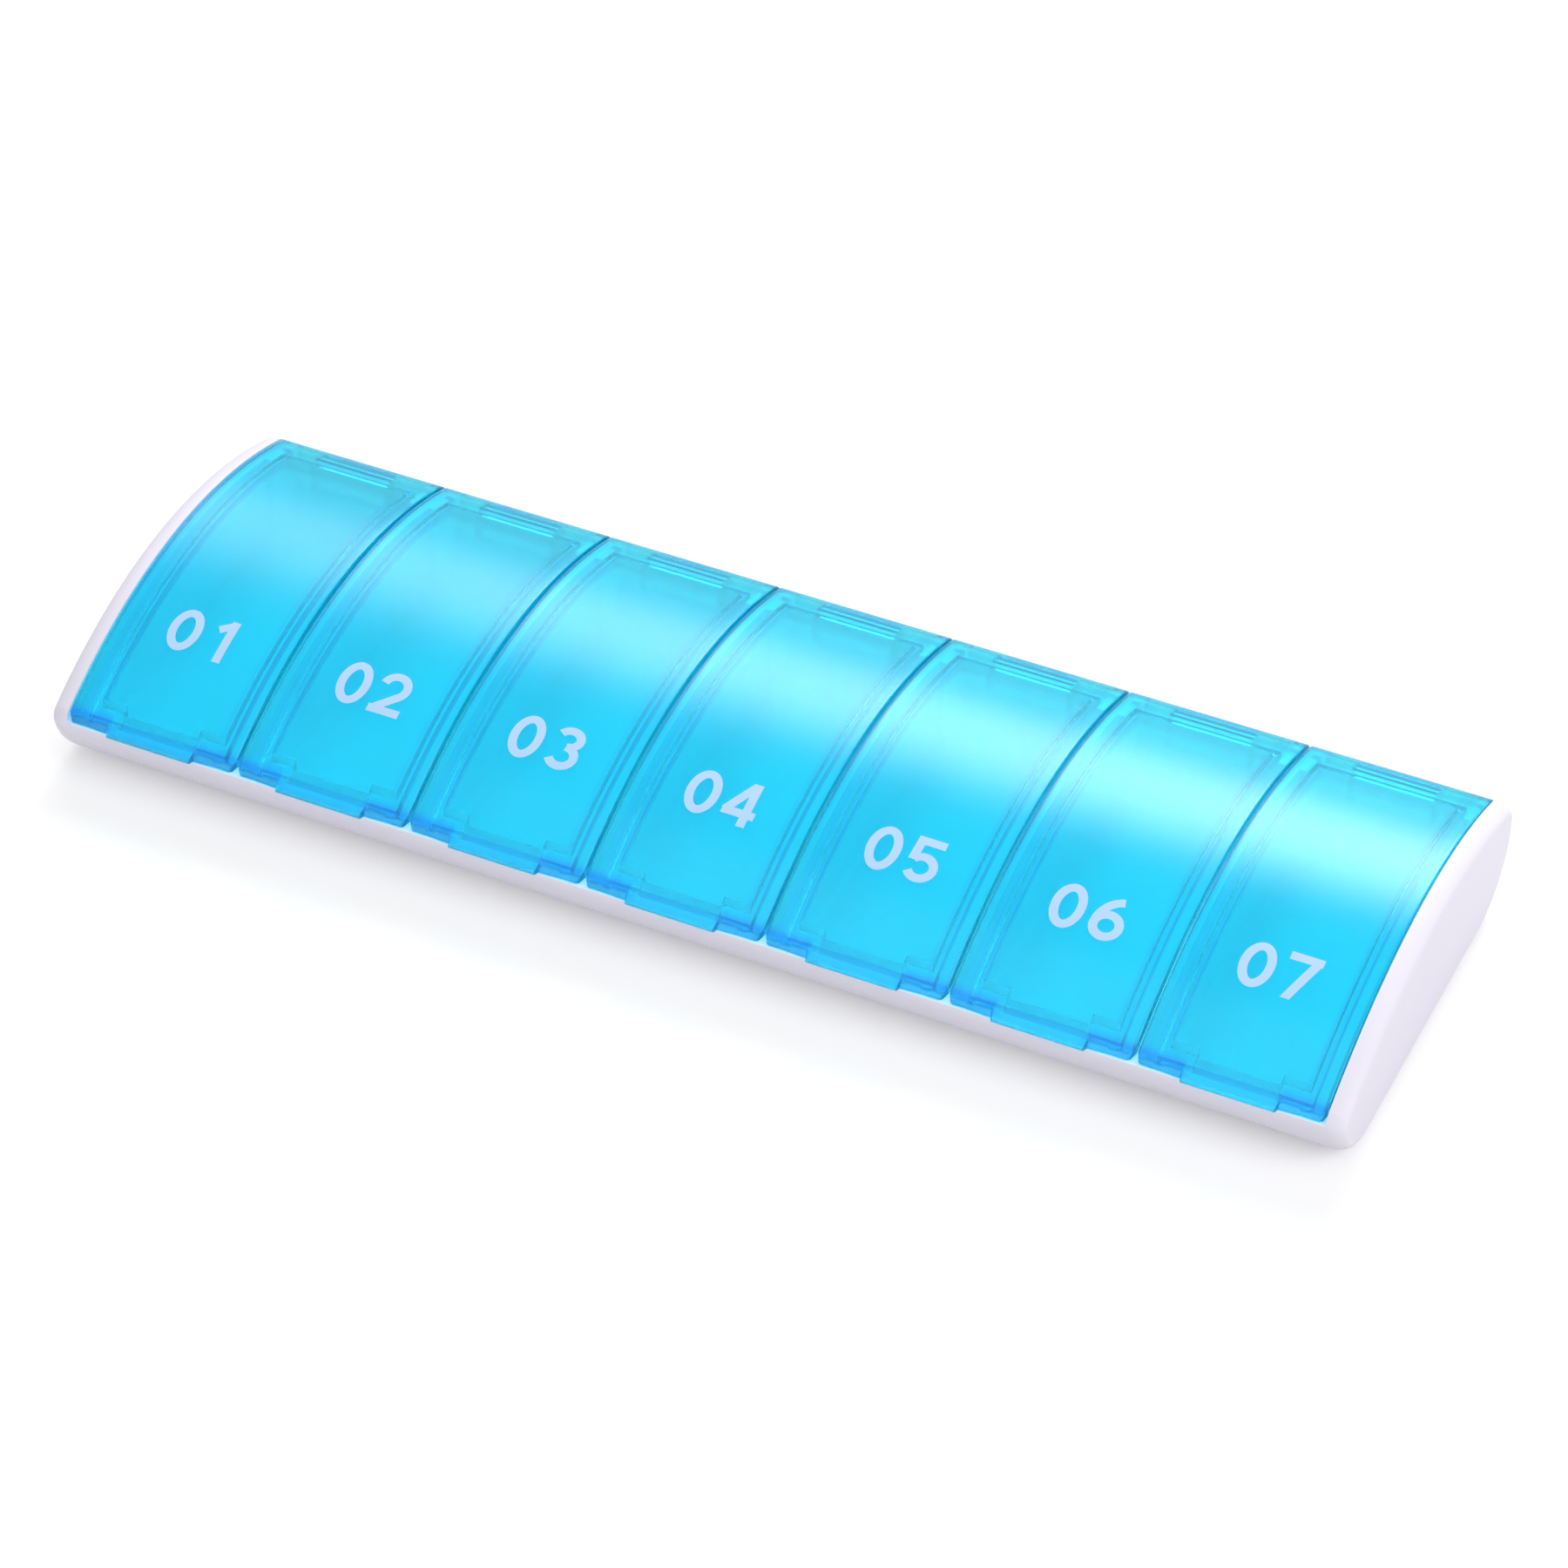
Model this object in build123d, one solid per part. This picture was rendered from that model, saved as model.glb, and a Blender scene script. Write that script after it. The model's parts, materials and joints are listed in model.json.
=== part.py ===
"""Weekly pill box: a white arched tray with seven compartments, each closed by
a translucent lid that swings on its own steel pin along the back edge.

Millimetres, +X along the row of lids, +Y to the back, +Z up. The origin is the
middle of the box's footprint, on the surface it stands on.
"""
import os
from math import acos, asin, atan2, cos, degrees, radians, sin, sqrt

from build123d import *

# Overall form
day_count = 7
pitch = 25.0             # seam to seam along the row
end_wall = 2.5           # white end beyond the last lid
tray_depth = 60.0
front_height = 9.25      # arched top at the front of the tray
crown_height = 18.95     # its highest point
back_height = 13.75      # arched top at the back of the tray
back_straight = 1.0      # upright stretch of the back wall, under the hinge line
front_edge_round = 2.6   # where the arched top turns down to the front
end_round = 2.4          # all round each white end
round_margin = 0.1       # least wall or edge left beyond a rounding

# Tray walls
wall = 1.8
floor = 1.6
partition = 2.0
sill_drop = 0.75         # front edge of the arch down to the top of the front wall
catch_reach = 0.2        # ridge inside the front wall that the lid beads pass
catch_height = 0.7

# Lids
lid_thickness = 1.6
lid_gap = 0.45           # open seam between two lids
bed_gap = 0.3            # under the lid, above the partitions
seat_gap = 0.1           # under the lid's front edge, above the sill
lid_corner_round = 1.3   # front corners, seen from above
lip_width = 12.5
lip_reach = 0.4          # finger lip, forward of the tray
lip_height = 0.6
lip_run = 2.0            # the lip fades into the arch over this length
lip_round = 0.4
rib_side_gap = 0.4       # hinge ear to the side ribs under the lid
rib_thickness = 1.0
rib_depth = 1.7
bead_reach = 0.3
bead_height = 0.8
bead_rise = 0.3          # from the rib's lower edge up to the bead
snap_gap = 0.2           # bead to catch
latch_block_width = 4.6
latch_block_depth = 2.2

# Hinge
pin_diameter = 1.5
pin_chamfer = 0.15
pin_end_gap = 0.5        # between the ends of two neighbouring pins
pin_running_fit = 0.05   # radial, lid barrel on pin
pin_seat_fit = 0.02      # radial, pin in the tray's ears
hinge_gap = 0.3          # tray to anything that turns
barrel_width = 11.5
ear_width = 4.0          # ears that carry the pins, at every seam
ear_wall = 0.75          # round the pin
ear_foot = 0.8           # buttress under an ear, forward of the lid's swing
snap_grip = 0.15         # each side of an ear's snap slot is this much inside the pin
back_lip = 0.6           # thickness left at the top of the back wall
heel_angle = 20.0        # lowest part of a lid's back corner, above the pin
open_angle = 120.0
stop_slack = 2.0         # degrees left at the open stop


def find_crown(depth, fall_a, fall_b):
    """Setback of the top of the arc that falls by fall_a in front and fall_b at the back."""
    bend = 1 / fall_a - 1 / fall_b
    slope = 2 * depth / fall_b
    level = fall_a - fall_b - depth**2 / fall_b
    return -2 * level / (slope + sqrt(slope**2 - 4 * bend * level))


# Derived places in the (y, z) section
row_length = day_count * pitch
length = row_length + 2 * end_wall
front_y = (lip_reach - tray_depth) / 2
back_y = front_y + tray_depth
front_fall = crown_height - front_height
back_fall = crown_height - back_height
crown_setback = find_crown(tray_depth, front_fall, back_fall)
crown_radius = (crown_setback**2 + front_fall**2) / (2 * front_fall)
crown = Vector(front_y + crown_setback, crown_height - crown_radius)
pin_radius = pin_diameter / 2
ear_radius = pin_radius + ear_wall
knuckle_radius = ear_radius + hinge_gap + lid_thickness  # rounded back edge of a lid
swing_radius = knuckle_radius + hinge_gap
back_wall_drop = sqrt(swing_radius**2 - (knuckle_radius - back_lip) ** 2)  # below the pin
hinge_y = back_y - knuckle_radius
hinge_lean = asin((hinge_y - crown.X) / (crown_radius - knuckle_radius))
hinge = crown + (crown_radius - knuckle_radius) * Vector(sin(hinge_lean), cos(hinge_lean))
knuckle_turn = 90 - degrees(hinge_lean)  # where the arch meets the knuckle, about the pin
front_round = front_height
back_round = hinge.Y - back_straight
front_hub = Vector(front_y + front_round, front_round)
back_hub = Vector(back_y - back_round, back_round)
end_fillet = min(end_round, min(end_wall, front_edge_round, knuckle_radius) - round_margin)
sill_height = front_round - sill_drop
seat_height = sill_height + seat_gap
lid_width = pitch - lid_gap
rib_inset = ear_width / 2 + rib_side_gap  # seam to the outer face of a side rib
rib_front = front_y + wall + catch_reach + snap_gap + bead_reach
rib_back = hinge.X - knuckle_radius + hinge_gap
reach = 2 * (tray_depth + crown_height)  # larger than any section


def arch_height(y, radius):
    """Height of the arch of this radius at y."""
    return crown.Y + sqrt(radius**2 - (y - crown.X) ** 2)


def meeting_point(hub_a, radius_a, hub_b, radius_b):
    """Upper front meeting point of two circles."""
    span = hub_b - hub_a
    along = atan2(span.Y, span.X)
    half = acos((radius_a**2 + span.length**2 - radius_b**2) / (2 * radius_a * span.length))
    turns = (along - half, along + half)
    points = [hub_a + radius_a * Vector(cos(turn), sin(turn)) for turn in turns]
    return min(points, key=lambda point: point.X - point.Y)


def arc(hub, start, end):
    """Short arc about hub from start to end."""
    middle = (start + end) / 2 - hub
    return ThreePointArc(start, hub + middle.normalized() * (start - hub).length, end)


def polar(turn, radius=reach):
    """Point about the pin, turn in degrees up from straight back."""
    return hinge + radius * Vector(cos(radians(turn)), sin(radians(turn)))


def disc(hub, radius):
    """Full disc in the section."""
    return Pos(hub.X, hub.Y) * Circle(radius)


def block(y0, y1, z0, z1):
    """Rectangle in the section."""
    return Pos((y0 + y1) / 2, (z0 + z1) / 2) * Rectangle(y1 - y0, z1 - z0)


def wedge(turn0, turn1):
    """Slice about the pin between two turns."""
    steps = [turn0 + (turn1 - turn0) * share for share in (0, 1 / 3, 2 / 3, 1)]
    return make_face(Polyline(hinge, *[polar(turn) for turn in steps], close=True))


def prism(section, x0, x1):
    """Section in (y, z) run along X."""
    return extrude(Plane((x0, 0, 0), x_dir=(0, 1, 0), z_dir=(1, 0, 0)) * section, x1 - x0)


def outline():
    """End view of the closed box: flat base, rounded front and back, arched top."""
    nose = meeting_point(crown, crown_radius - front_edge_round, front_hub, front_round - front_edge_round)
    nose_top = crown + (nose - crown).normalized() * crown_radius
    nose_front = front_hub + (nose - front_hub).normalized() * front_round
    back_top = polar(knuckle_turn, knuckle_radius)
    base_front = Vector(front_hub.X, 0)
    base_back = Vector(back_hub.X, 0)
    edges = [
        Line(base_front, base_back),
        arc(back_hub, base_back, Vector(back_y, back_round)),
        Line((back_y, back_round), (back_y, hinge.Y)),
        arc(hinge, Vector(back_y, hinge.Y), back_top),
        arc(crown, back_top, nose_top),
        arc(nose, nose_top, nose_front),
        arc(front_hub, nose_front, base_front),
    ]
    return make_face(Curve() + edges)


def hollow():
    """Section of a compartment: the outline less the walls, open upwards."""
    front = front_y + wall
    back = back_y - wall
    front_inner = front_round - wall
    back_inner = back_round - wall
    edges = [
        Line((front_hub.X, floor), (back - back_inner, floor)),
        arc(
            Vector(back - back_inner, floor + back_inner),
            Vector(back - back_inner, floor),
            Vector(back, floor + back_inner),
        ),
        Polyline((back, floor + back_inner), (back, reach), (front, reach), (front, floor + front_inner)),
        arc(
            Vector(front_hub.X, floor + front_inner),
            Vector(front, floor + front_inner),
            Vector(front_hub.X, floor),
        ),
    ]
    return make_face(Curve() + edges)


def lid_bed():
    """Section cleared over the row for the lids and the way they swing."""
    over_arch = block(-reach, reach, sill_height, reach) - disc(crown, crown_radius - lid_thickness - bed_gap)
    ring = disc(hinge, swing_radius) - disc(hinge, ear_radius)
    swing = ring & wedge(heel_angle - open_angle - stop_slack, knuckle_turn)
    over_wall = block(hinge.X, reach, hinge.Y - back_wall_drop, reach) - disc(hinge, ear_radius)
    return over_arch - disc(hinge, ear_radius) + swing + over_wall


def ear_section():
    """Buttress that carries a pin end, before the lids' way is cleared."""
    return block(hinge.X - swing_radius - ear_foot, back_y, 0, reach)


def build_tray():
    """White tray: shell, partitions, sill with its catch, and the hinge ears."""
    tray = prism(outline(), -length / 2, length / 2)
    ends = tray.faces().sort_by(Axis.X)
    tray = fillet(ends[0].edges() + ends[-1].edges(), end_fillet)
    tray -= prism(lid_bed(), -row_length / 2, row_length / 2)
    seams = [(index - day_count / 2) * pitch for index in range(day_count + 1)]
    cut_section = hollow()
    for left, right in zip(seams, seams[1:]):
        cut = prism(cut_section, left + partition / 2, right - partition / 2)
        for seam in (left, right):
            cut -= prism(ear_section(), seam - ear_width / 2, seam + ear_width / 2)
        tray -= cut
    inner = front_y + wall
    catch = make_face(
        Polyline(
            (inner - wall / 2, sill_height),
            (inner, sill_height),
            (inner + catch_reach, sill_height - catch_height / 2),
            (inner, sill_height - catch_height),
            (inner - wall / 2, sill_height - catch_height),
            close=True,
        )
    )
    for left, right in zip(seams, seams[1:]):
        for start, end in latch_spans(left, right):
            tray += prism(catch, start, end)
    bore_end = (row_length - pin_end_gap / 2) / 2
    tray -= prism(disc(hinge, pin_radius + pin_seat_fit), -bore_end, bore_end)
    slot = pin_radius - snap_grip
    mouth = block(hinge.X - slot, hinge.X + slot, hinge.Y, hinge.Y + knuckle_radius)
    tray -= prism(mouth, -bore_end, bore_end)
    return tray


def latch_spans(left, right):
    """X spans of the two latch blocks of the lid between two seams."""
    return (
        (left + rib_inset, left + rib_inset + latch_block_width),
        (right - rib_inset - latch_block_width, right - rib_inset),
    )


def build_lid(middle):
    """Arched lid: shell, rounded back edge, finger lip, ribs, latch blocks and hinge barrel."""
    left = middle - pitch / 2
    right = middle + pitch / 2
    under = crown_radius - lid_thickness
    inner_turn = crown + under * Vector(sin(hinge_lean), cos(hinge_lean))
    under_arch = disc(crown, under) & block(-reach, inner_turn.X, -reach, reach)
    hem_turn = -degrees(asin((back_wall_drop - hinge_gap) / knuckle_radius))
    shell = outline() - under_arch - disc(hinge, knuckle_radius - lid_thickness)
    shell -= block(hinge.X, reach, -reach, hinge.Y) - disc(hinge, knuckle_radius)
    shell -= wedge(hem_turn, -180) & block(inner_turn.X - lid_thickness, reach, -reach, reach)
    shell -= block(-reach, hinge.X, -reach, seat_height)
    lid = prism(shell, middle - lid_width / 2, middle + lid_width / 2)
    plan = Pos(middle, hinge.X) * RectangleRounded(lid_width, 2 * (hinge.X - front_y), lid_corner_round)
    lid &= extrude(plan, 2 * crown_height)

    corner = wedge(heel_angle, -150) & disc(hinge, swing_radius)
    ear_clear = ear_width / 2 + hinge_gap
    lid -= prism(corner, left, left + ear_clear)
    lid -= prism(corner, right - ear_clear, right)

    lip_top = front_y - lip_reach + lip_run
    lip = make_face(
        Polyline(
            (front_y - lip_reach, seat_height),
            (front_y - lip_reach, seat_height + lip_height),
            (lip_top, arch_height(lip_top, crown_radius)),
            (lip_top, seat_height),
            close=True,
        )
    )
    crest = lip.vertices().group_by(Axis.X)[0].sort_by(Axis.Y)[-1]
    lip = fillet(crest, lip_round)
    lid += prism(lip, middle - lip_width / 2, middle + lip_width / 2)

    band = disc(crown, under + lid_thickness / 2) - disc(crown, under - rib_depth)
    side_rib = band & block(rib_front, rib_back + rib_thickness, 0, reach)
    front_rib = band & block(rib_front, rib_front + rib_thickness, 0, reach)
    back_rib = band & block(rib_back, rib_back + rib_thickness, 0, reach)
    rib_left = left + rib_inset
    rib_right = right - rib_inset
    lid += prism(side_rib, rib_left, rib_left + rib_thickness)
    lid += prism(side_rib, rib_right - rib_thickness, rib_right)
    lid += prism(front_rib, rib_left, rib_right)
    lid += prism(back_rib, rib_left, rib_right)

    latch = band & block(rib_front, rib_front + latch_block_depth, 0, reach)
    bead_low = arch_height(rib_front, under - rib_depth) + bead_rise
    bead = make_face(
        Polyline(
            (rib_front + rib_thickness / 2, bead_low),
            (rib_front, bead_low),
            (rib_front - bead_reach, bead_low + bead_height / 2),
            (rib_front, bead_low + bead_height),
            (rib_front + rib_thickness / 2, bead_low + bead_height),
            close=True,
        )
    )
    for start, end in latch_spans(left, right):
        lid += prism(latch, start, end)
        lid += prism(bead, start, end)

    barrel = disc(hinge, knuckle_radius - lid_thickness / 2)
    lid += prism(barrel, middle - barrel_width / 2, middle + barrel_width / 2)
    lid -= prism(disc(hinge, pin_radius + pin_running_fit), left, right)
    return lid


def build_pin(middle):
    """Plain steel pin of one lid, its ends held in two ears."""
    half = (pitch - pin_end_gap) / 2
    pin = prism(disc(hinge, pin_radius), middle - half, middle + half)
    return chamfer(pin.edges().filter_by(GeomType.CIRCLE), pin_chamfer)


os.makedirs("parts", exist_ok=True)
export_step(build_tray(), "parts/tray.step")
for day in range(1, day_count + 1):
    lid_middle = (day - (day_count + 1) / 2) * pitch
    export_step(build_lid(lid_middle), f"parts/day_{day}_lid.step")
    export_step(build_pin(lid_middle), f"parts/day_{day}_hinge_pin.step")
print(f"hinge line at y {hinge.X:.4f}, z {hinge.Y:.4f}")
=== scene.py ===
"""Weekly pill box: a white arched tray whose seven compartments close under glossy blue lids.

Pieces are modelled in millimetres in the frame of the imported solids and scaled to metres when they
are finished. +X runs along the row of lids, +Y to the hinge side, +Z up. A section is a list of
(y, z) points, and turns in it are degrees up from straight back.
"""
import json
import logging
import math
from dataclasses import dataclass, field
from enum import Enum
from functools import cached_property
from typing import Sequence

import bmesh
import bpy
import numpy as np
from mathutils import Matrix, Vector
from mathutils.geometry import delaunay_2d_cdt


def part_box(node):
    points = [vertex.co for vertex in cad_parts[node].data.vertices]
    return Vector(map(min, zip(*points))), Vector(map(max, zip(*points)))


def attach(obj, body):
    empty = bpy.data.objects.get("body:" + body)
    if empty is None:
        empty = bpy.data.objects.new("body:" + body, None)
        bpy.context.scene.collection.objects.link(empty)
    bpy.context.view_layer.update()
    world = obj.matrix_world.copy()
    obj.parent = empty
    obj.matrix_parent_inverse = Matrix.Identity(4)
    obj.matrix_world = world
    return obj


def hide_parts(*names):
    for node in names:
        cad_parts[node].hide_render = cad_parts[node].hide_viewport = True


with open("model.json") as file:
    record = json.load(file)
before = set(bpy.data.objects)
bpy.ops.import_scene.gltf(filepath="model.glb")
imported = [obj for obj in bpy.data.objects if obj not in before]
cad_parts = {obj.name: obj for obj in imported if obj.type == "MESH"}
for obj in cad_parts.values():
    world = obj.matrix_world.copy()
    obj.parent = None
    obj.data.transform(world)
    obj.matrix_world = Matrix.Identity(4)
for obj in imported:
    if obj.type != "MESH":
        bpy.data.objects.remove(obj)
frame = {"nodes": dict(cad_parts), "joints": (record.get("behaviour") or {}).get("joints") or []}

MM = 0.001
PLASTIC_IOR = 1.49
LOG = logging.getLogger("pill_box")

Point = tuple[float, float]
Colour = tuple[float, float, float, float]


class Joining(Enum):
    """How a tool solid is combined with a moulding."""

    CUT = "DIFFERENCE"
    FUSE = "UNION"


class Slot(Enum):
    """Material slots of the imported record."""

    TRAY = "tray_plastic"
    LID = "lid_plastic"
    PIN = "pin_steel"


# Sections


def arc(hub: Point, radius: float, start: float, end: float, step: float = 3.0) -> np.ndarray:
    """Points along an arc of the section.

    Args:
        hub: Centre of the arc.
        radius: Its radius.
        start: Turn of the first point.
        end: Turn of the last point.
        step: Widest turn between two points.

    Returns:
        An array of (y, z) points, both ends included.
    """
    count = math.ceil(abs(end - start) / step) + 1
    turns = np.radians(np.linspace(start, end, max(count, 2)))
    return np.column_stack((hub[0] + radius * np.cos(turns), hub[1] + radius * np.sin(turns)))


def polar(hub: Point, radius: float, turn: float) -> Point:
    """Point of the section at a radius and turn about a hub."""
    return hub[0] + radius * math.cos(math.radians(turn)), hub[1] + radius * math.sin(math.radians(turn))


def turn_to(hub: Point, point: Point) -> float:
    """Turn of a point as seen from a hub."""
    return math.degrees(math.atan2(point[1] - hub[1], point[0] - hub[0]))


def soft_corner(before: Point, corner: Point, after: Point, reach: float, steps: int = 4) -> np.ndarray:
    """Rounds a corner of a section.

    Args:
        before: A point on the edge that comes in.
        corner: The sharp corner.
        after: A point on the edge that goes out.
        reach: Where the rounding starts on both edges, from the corner.
        steps: Number of chords.

    Returns:
        An array of (y, z) points from the first edge to the second.
    """
    middle = np.array(corner)
    ways = [np.array(end) - middle for end in (before, after)]
    first, last = (middle + reach * way / np.linalg.norm(way) for way in ways)
    share = np.linspace(0.0, 1.0, steps + 1)[:, None]
    return (1 - share) ** 2 * first + 2 * share * (1 - share) * middle + share**2 * last


def ring_normals(ring: np.ndarray) -> np.ndarray:
    """Outward normals of a closed section that runs counter-clockwise.

    Args:
        ring: The section's (y, z) points.

    Returns:
        One unit normal for each point.
    """
    along = np.roll(ring, -1, axis=0) - np.roll(ring, 1, axis=0)
    along /= np.maximum(np.linalg.norm(along, axis=1, keepdims=True), 1e-9)
    return np.column_stack((along[:, 1], -along[:, 0]))


def drawn_in(ring: np.ndarray, inset: float) -> np.ndarray:
    """Moves a closed section inwards, less where it bends too tightly for that.

    Args:
        ring: The section's (y, z) points, counter-clockwise.
        inset: Distance to move.

    Returns:
        The moved points.
    """
    before, after = ring - np.roll(ring, 1, axis=0), np.roll(ring, -1, axis=0) - ring
    bend = np.arctan2(before[:, 0] * after[:, 1] - before[:, 1] * after[:, 0], (before * after).sum(1))
    length = (np.linalg.norm(before, axis=1) + np.linalg.norm(after, axis=1)) / 2
    straight, share = 1e-4, 0.8
    room = np.where(bend > straight, share * length / np.maximum(bend, straight), inset)
    return ring - np.minimum(inset, room)[:, None] * ring_normals(ring)


def smooth_step(value: np.ndarray | float, low: float, high: float) -> np.ndarray:
    """Eases from 0 at low to 1 at high."""
    share = np.clip((np.asarray(value, float) - low) / (high - low), 0.0, 1.0)
    return share * share * (3 - 2 * share)


def past(value: np.ndarray, edge: float, ends: Point) -> np.ndarray:
    """Eases from 0 to 1 between two distances past an edge."""
    return smooth_step(value, edge + ends[0], edge + ends[1])


def quarter_turn(chords: int) -> np.ndarray:
    """Even steps from 0 to a right angle, in radians."""
    return np.radians(np.linspace(0.0, 90.0, chords + 1))


def spaced(places: Sequence[float], least: float = 0.012) -> list[float]:
    """Sorts places and drops those that nearly repeat.

    Args:
        places: Distances in any order.
        least: Closest that two may stand.

    Returns:
        The places kept, in order.
    """
    kept: list[float] = []
    for place in sorted(places):
        if not kept or place - kept[-1] > least:
            kept.append(place)
    return kept


# Meshes


def bands(rows: int, size: int, closed: bool = False) -> list[tuple[int, ...]]:
    """Faces between rings of corners that follow each other.

    Args:
        rows: Number of rings.
        size: Corners in each.
        closed: Whether the last ring joins the first.

    Returns:
        Four-sided faces.
    """
    faces: list[tuple[int, ...]] = []
    for row in range(rows if closed else rows - 1):
        low, high = row * size, (row + 1) % rows * size
        for this in range(size):
            after = (this + 1) % size
            faces.append((low + this, low + after, high + after, high + this))
    return faces


def loft(rings: Sequence[np.ndarray]) -> bpy.types.Mesh:
    """Skins closed rings of equal length and closes both ends.

    Args:
        rings: Arrays of (x, y, z) points, in order of x, each counter-clockwise seen from +X.

    Returns:
        A closed mesh whose faces point outwards.
    """
    size = len(rings[0])
    faces = bands(len(rings), size)
    last = (len(rings) - 1) * size
    faces.append(tuple(range(size - 1, -1, -1)))
    faces.append(tuple(range(last, last + size)))
    mesh = bpy.data.meshes.new("loft")
    mesh.from_pydata(np.concatenate(rings).tolist(), [], faces)
    return mesh


def at_x(section: np.ndarray, x: float) -> np.ndarray:
    """Puts a section at a place along the row."""
    return np.column_stack((np.full(len(section), x), section))


def rounded_bar(
    section: np.ndarray,
    start: float,
    end: float,
    rounding: float = 0.0,
    stretch: float = 1.0,
    chords: int = 8,
) -> bpy.types.Mesh:
    """Runs a section along X, with its two ends rounded over.

    Args:
        section: Closed (y, z) points, counter-clockwise.
        start: Lowest x.
        end: Highest x.
        rounding: Radius round each end, or 0 for sharp ends.
        stretch: How many times the radius the rounding runs along X.
        chords: Number of chords in each rounding.

    Returns:
        A closed mesh.
    """
    if rounding == 0.0:
        return loft([at_x(section, start), at_x(section, end)])
    run = rounding * stretch
    sides = [(rounding * (1 - math.sin(t)), run * (1 - math.cos(t))) for t in quarter_turn(chords)]
    rings = [at_x(drawn_in(section, inset), start + along) for inset, along in sides]
    rings += [at_x(drawn_in(section, inset), end - along) for inset, along in reversed(sides)]
    return loft(rings)


def new_object(name: str, data: bpy.types.ID) -> bpy.types.Object:
    """Links a mesh, lamp or camera to the scene as an object at the origin."""
    thing = bpy.data.objects.new(name, data)
    bpy.context.scene.collection.objects.link(thing)
    return thing


def point_at(name: str, data: bpy.types.ID, place: Sequence[float], way: Vector) -> bpy.types.Object:
    """Links a lamp or a camera to the scene, at a place and looking one way.

    Args:
        name: Name of the object.
        data: The lamp's or camera's data.
        place: Where it stands.
        way: Where it looks, from there.

    Returns:
        The new object.
    """
    thing = new_object(name, data)
    thing.location = place
    thing.rotation_euler = way.to_track_quat("-Z", "Y").to_euler()
    return thing


def coat(thing: bpy.types.Object, material: bpy.types.Material) -> None:
    """Gives a piece one material all over."""
    thing.data.materials.clear()
    thing.data.materials.append(material)


def joined(meshes: Sequence[bpy.types.Mesh]) -> bpy.types.Mesh:
    """Gathers loose meshes into one and drops the originals.

    Args:
        meshes: Meshes in the same units.

    Returns:
        One mesh with all their faces.
    """
    gathered = bmesh.new()
    for mesh in meshes:
        gathered.from_mesh(mesh)
        bpy.data.meshes.remove(mesh)
    whole = bpy.data.meshes.new("joined")
    gathered.to_mesh(whole)
    gathered.free()
    return whole


def settle(thing: bpy.types.Object) -> None:
    """Turns what an object's modifiers give into its plain mesh, and removes them."""
    bpy.context.view_layer.update()
    seen = thing.evaluated_get(bpy.context.evaluated_depsgraph_get())
    mesh = bpy.data.meshes.new_from_object(seen)
    thing.modifiers.clear()
    old = thing.data
    thing.data = mesh
    bpy.data.meshes.remove(old)


def combine(thing: bpy.types.Object, tool: bpy.types.Mesh, how: Joining) -> None:
    """Cuts a tool solid from an object, or fuses it on.

    Args:
        thing: The object to change.
        tool: A closed mesh, used up here.
        how: Whether to cut or to fuse.
    """
    helper = new_object("tool", tool)
    modifier = thing.modifiers.new("combine", "BOOLEAN")
    modifier.solver = "EXACT"
    modifier.operation = how.value
    modifier.object = helper
    settle(thing)
    bpy.data.objects.remove(helper)
    bpy.data.meshes.remove(tool)


def weld(mesh: bpy.types.Mesh, reach: float = 0.004) -> None:
    """Closes the hairline cracks that combining solids can leave.

    Args:
        mesh: The mesh to mend, in millimetres.
        reach: Corners closer than this are made one.
    """
    mended = bmesh.new()
    mended.from_mesh(mesh)
    bmesh.ops.remove_doubles(mended, verts=mended.verts, dist=reach)
    bmesh.ops.dissolve_degenerate(mended, edges=mended.edges, dist=reach / 4)
    mended.to_mesh(mesh)
    mended.free()


def polish(thing: bpy.types.Object, sharp_angle: float = 35.0) -> None:
    """Scales a piece to metres and gives it smooth faces between crisp edges.

    Args:
        thing: A finished piece in millimetres.
        sharp_angle: Edges that bend more than this many degrees stay crisp.
    """
    mesh = thing.data
    weld(mesh)
    mesh.transform(Matrix.Scale(MM, 4))
    mesh.shade_smooth()
    mesh.set_sharp_from_angle(angle=math.radians(sharp_angle))
    modifier = thing.modifiers.new("even shading", "WEIGHTED_NORMAL")
    modifier.keep_sharp = True
    settle(thing)


# Node trees


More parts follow.
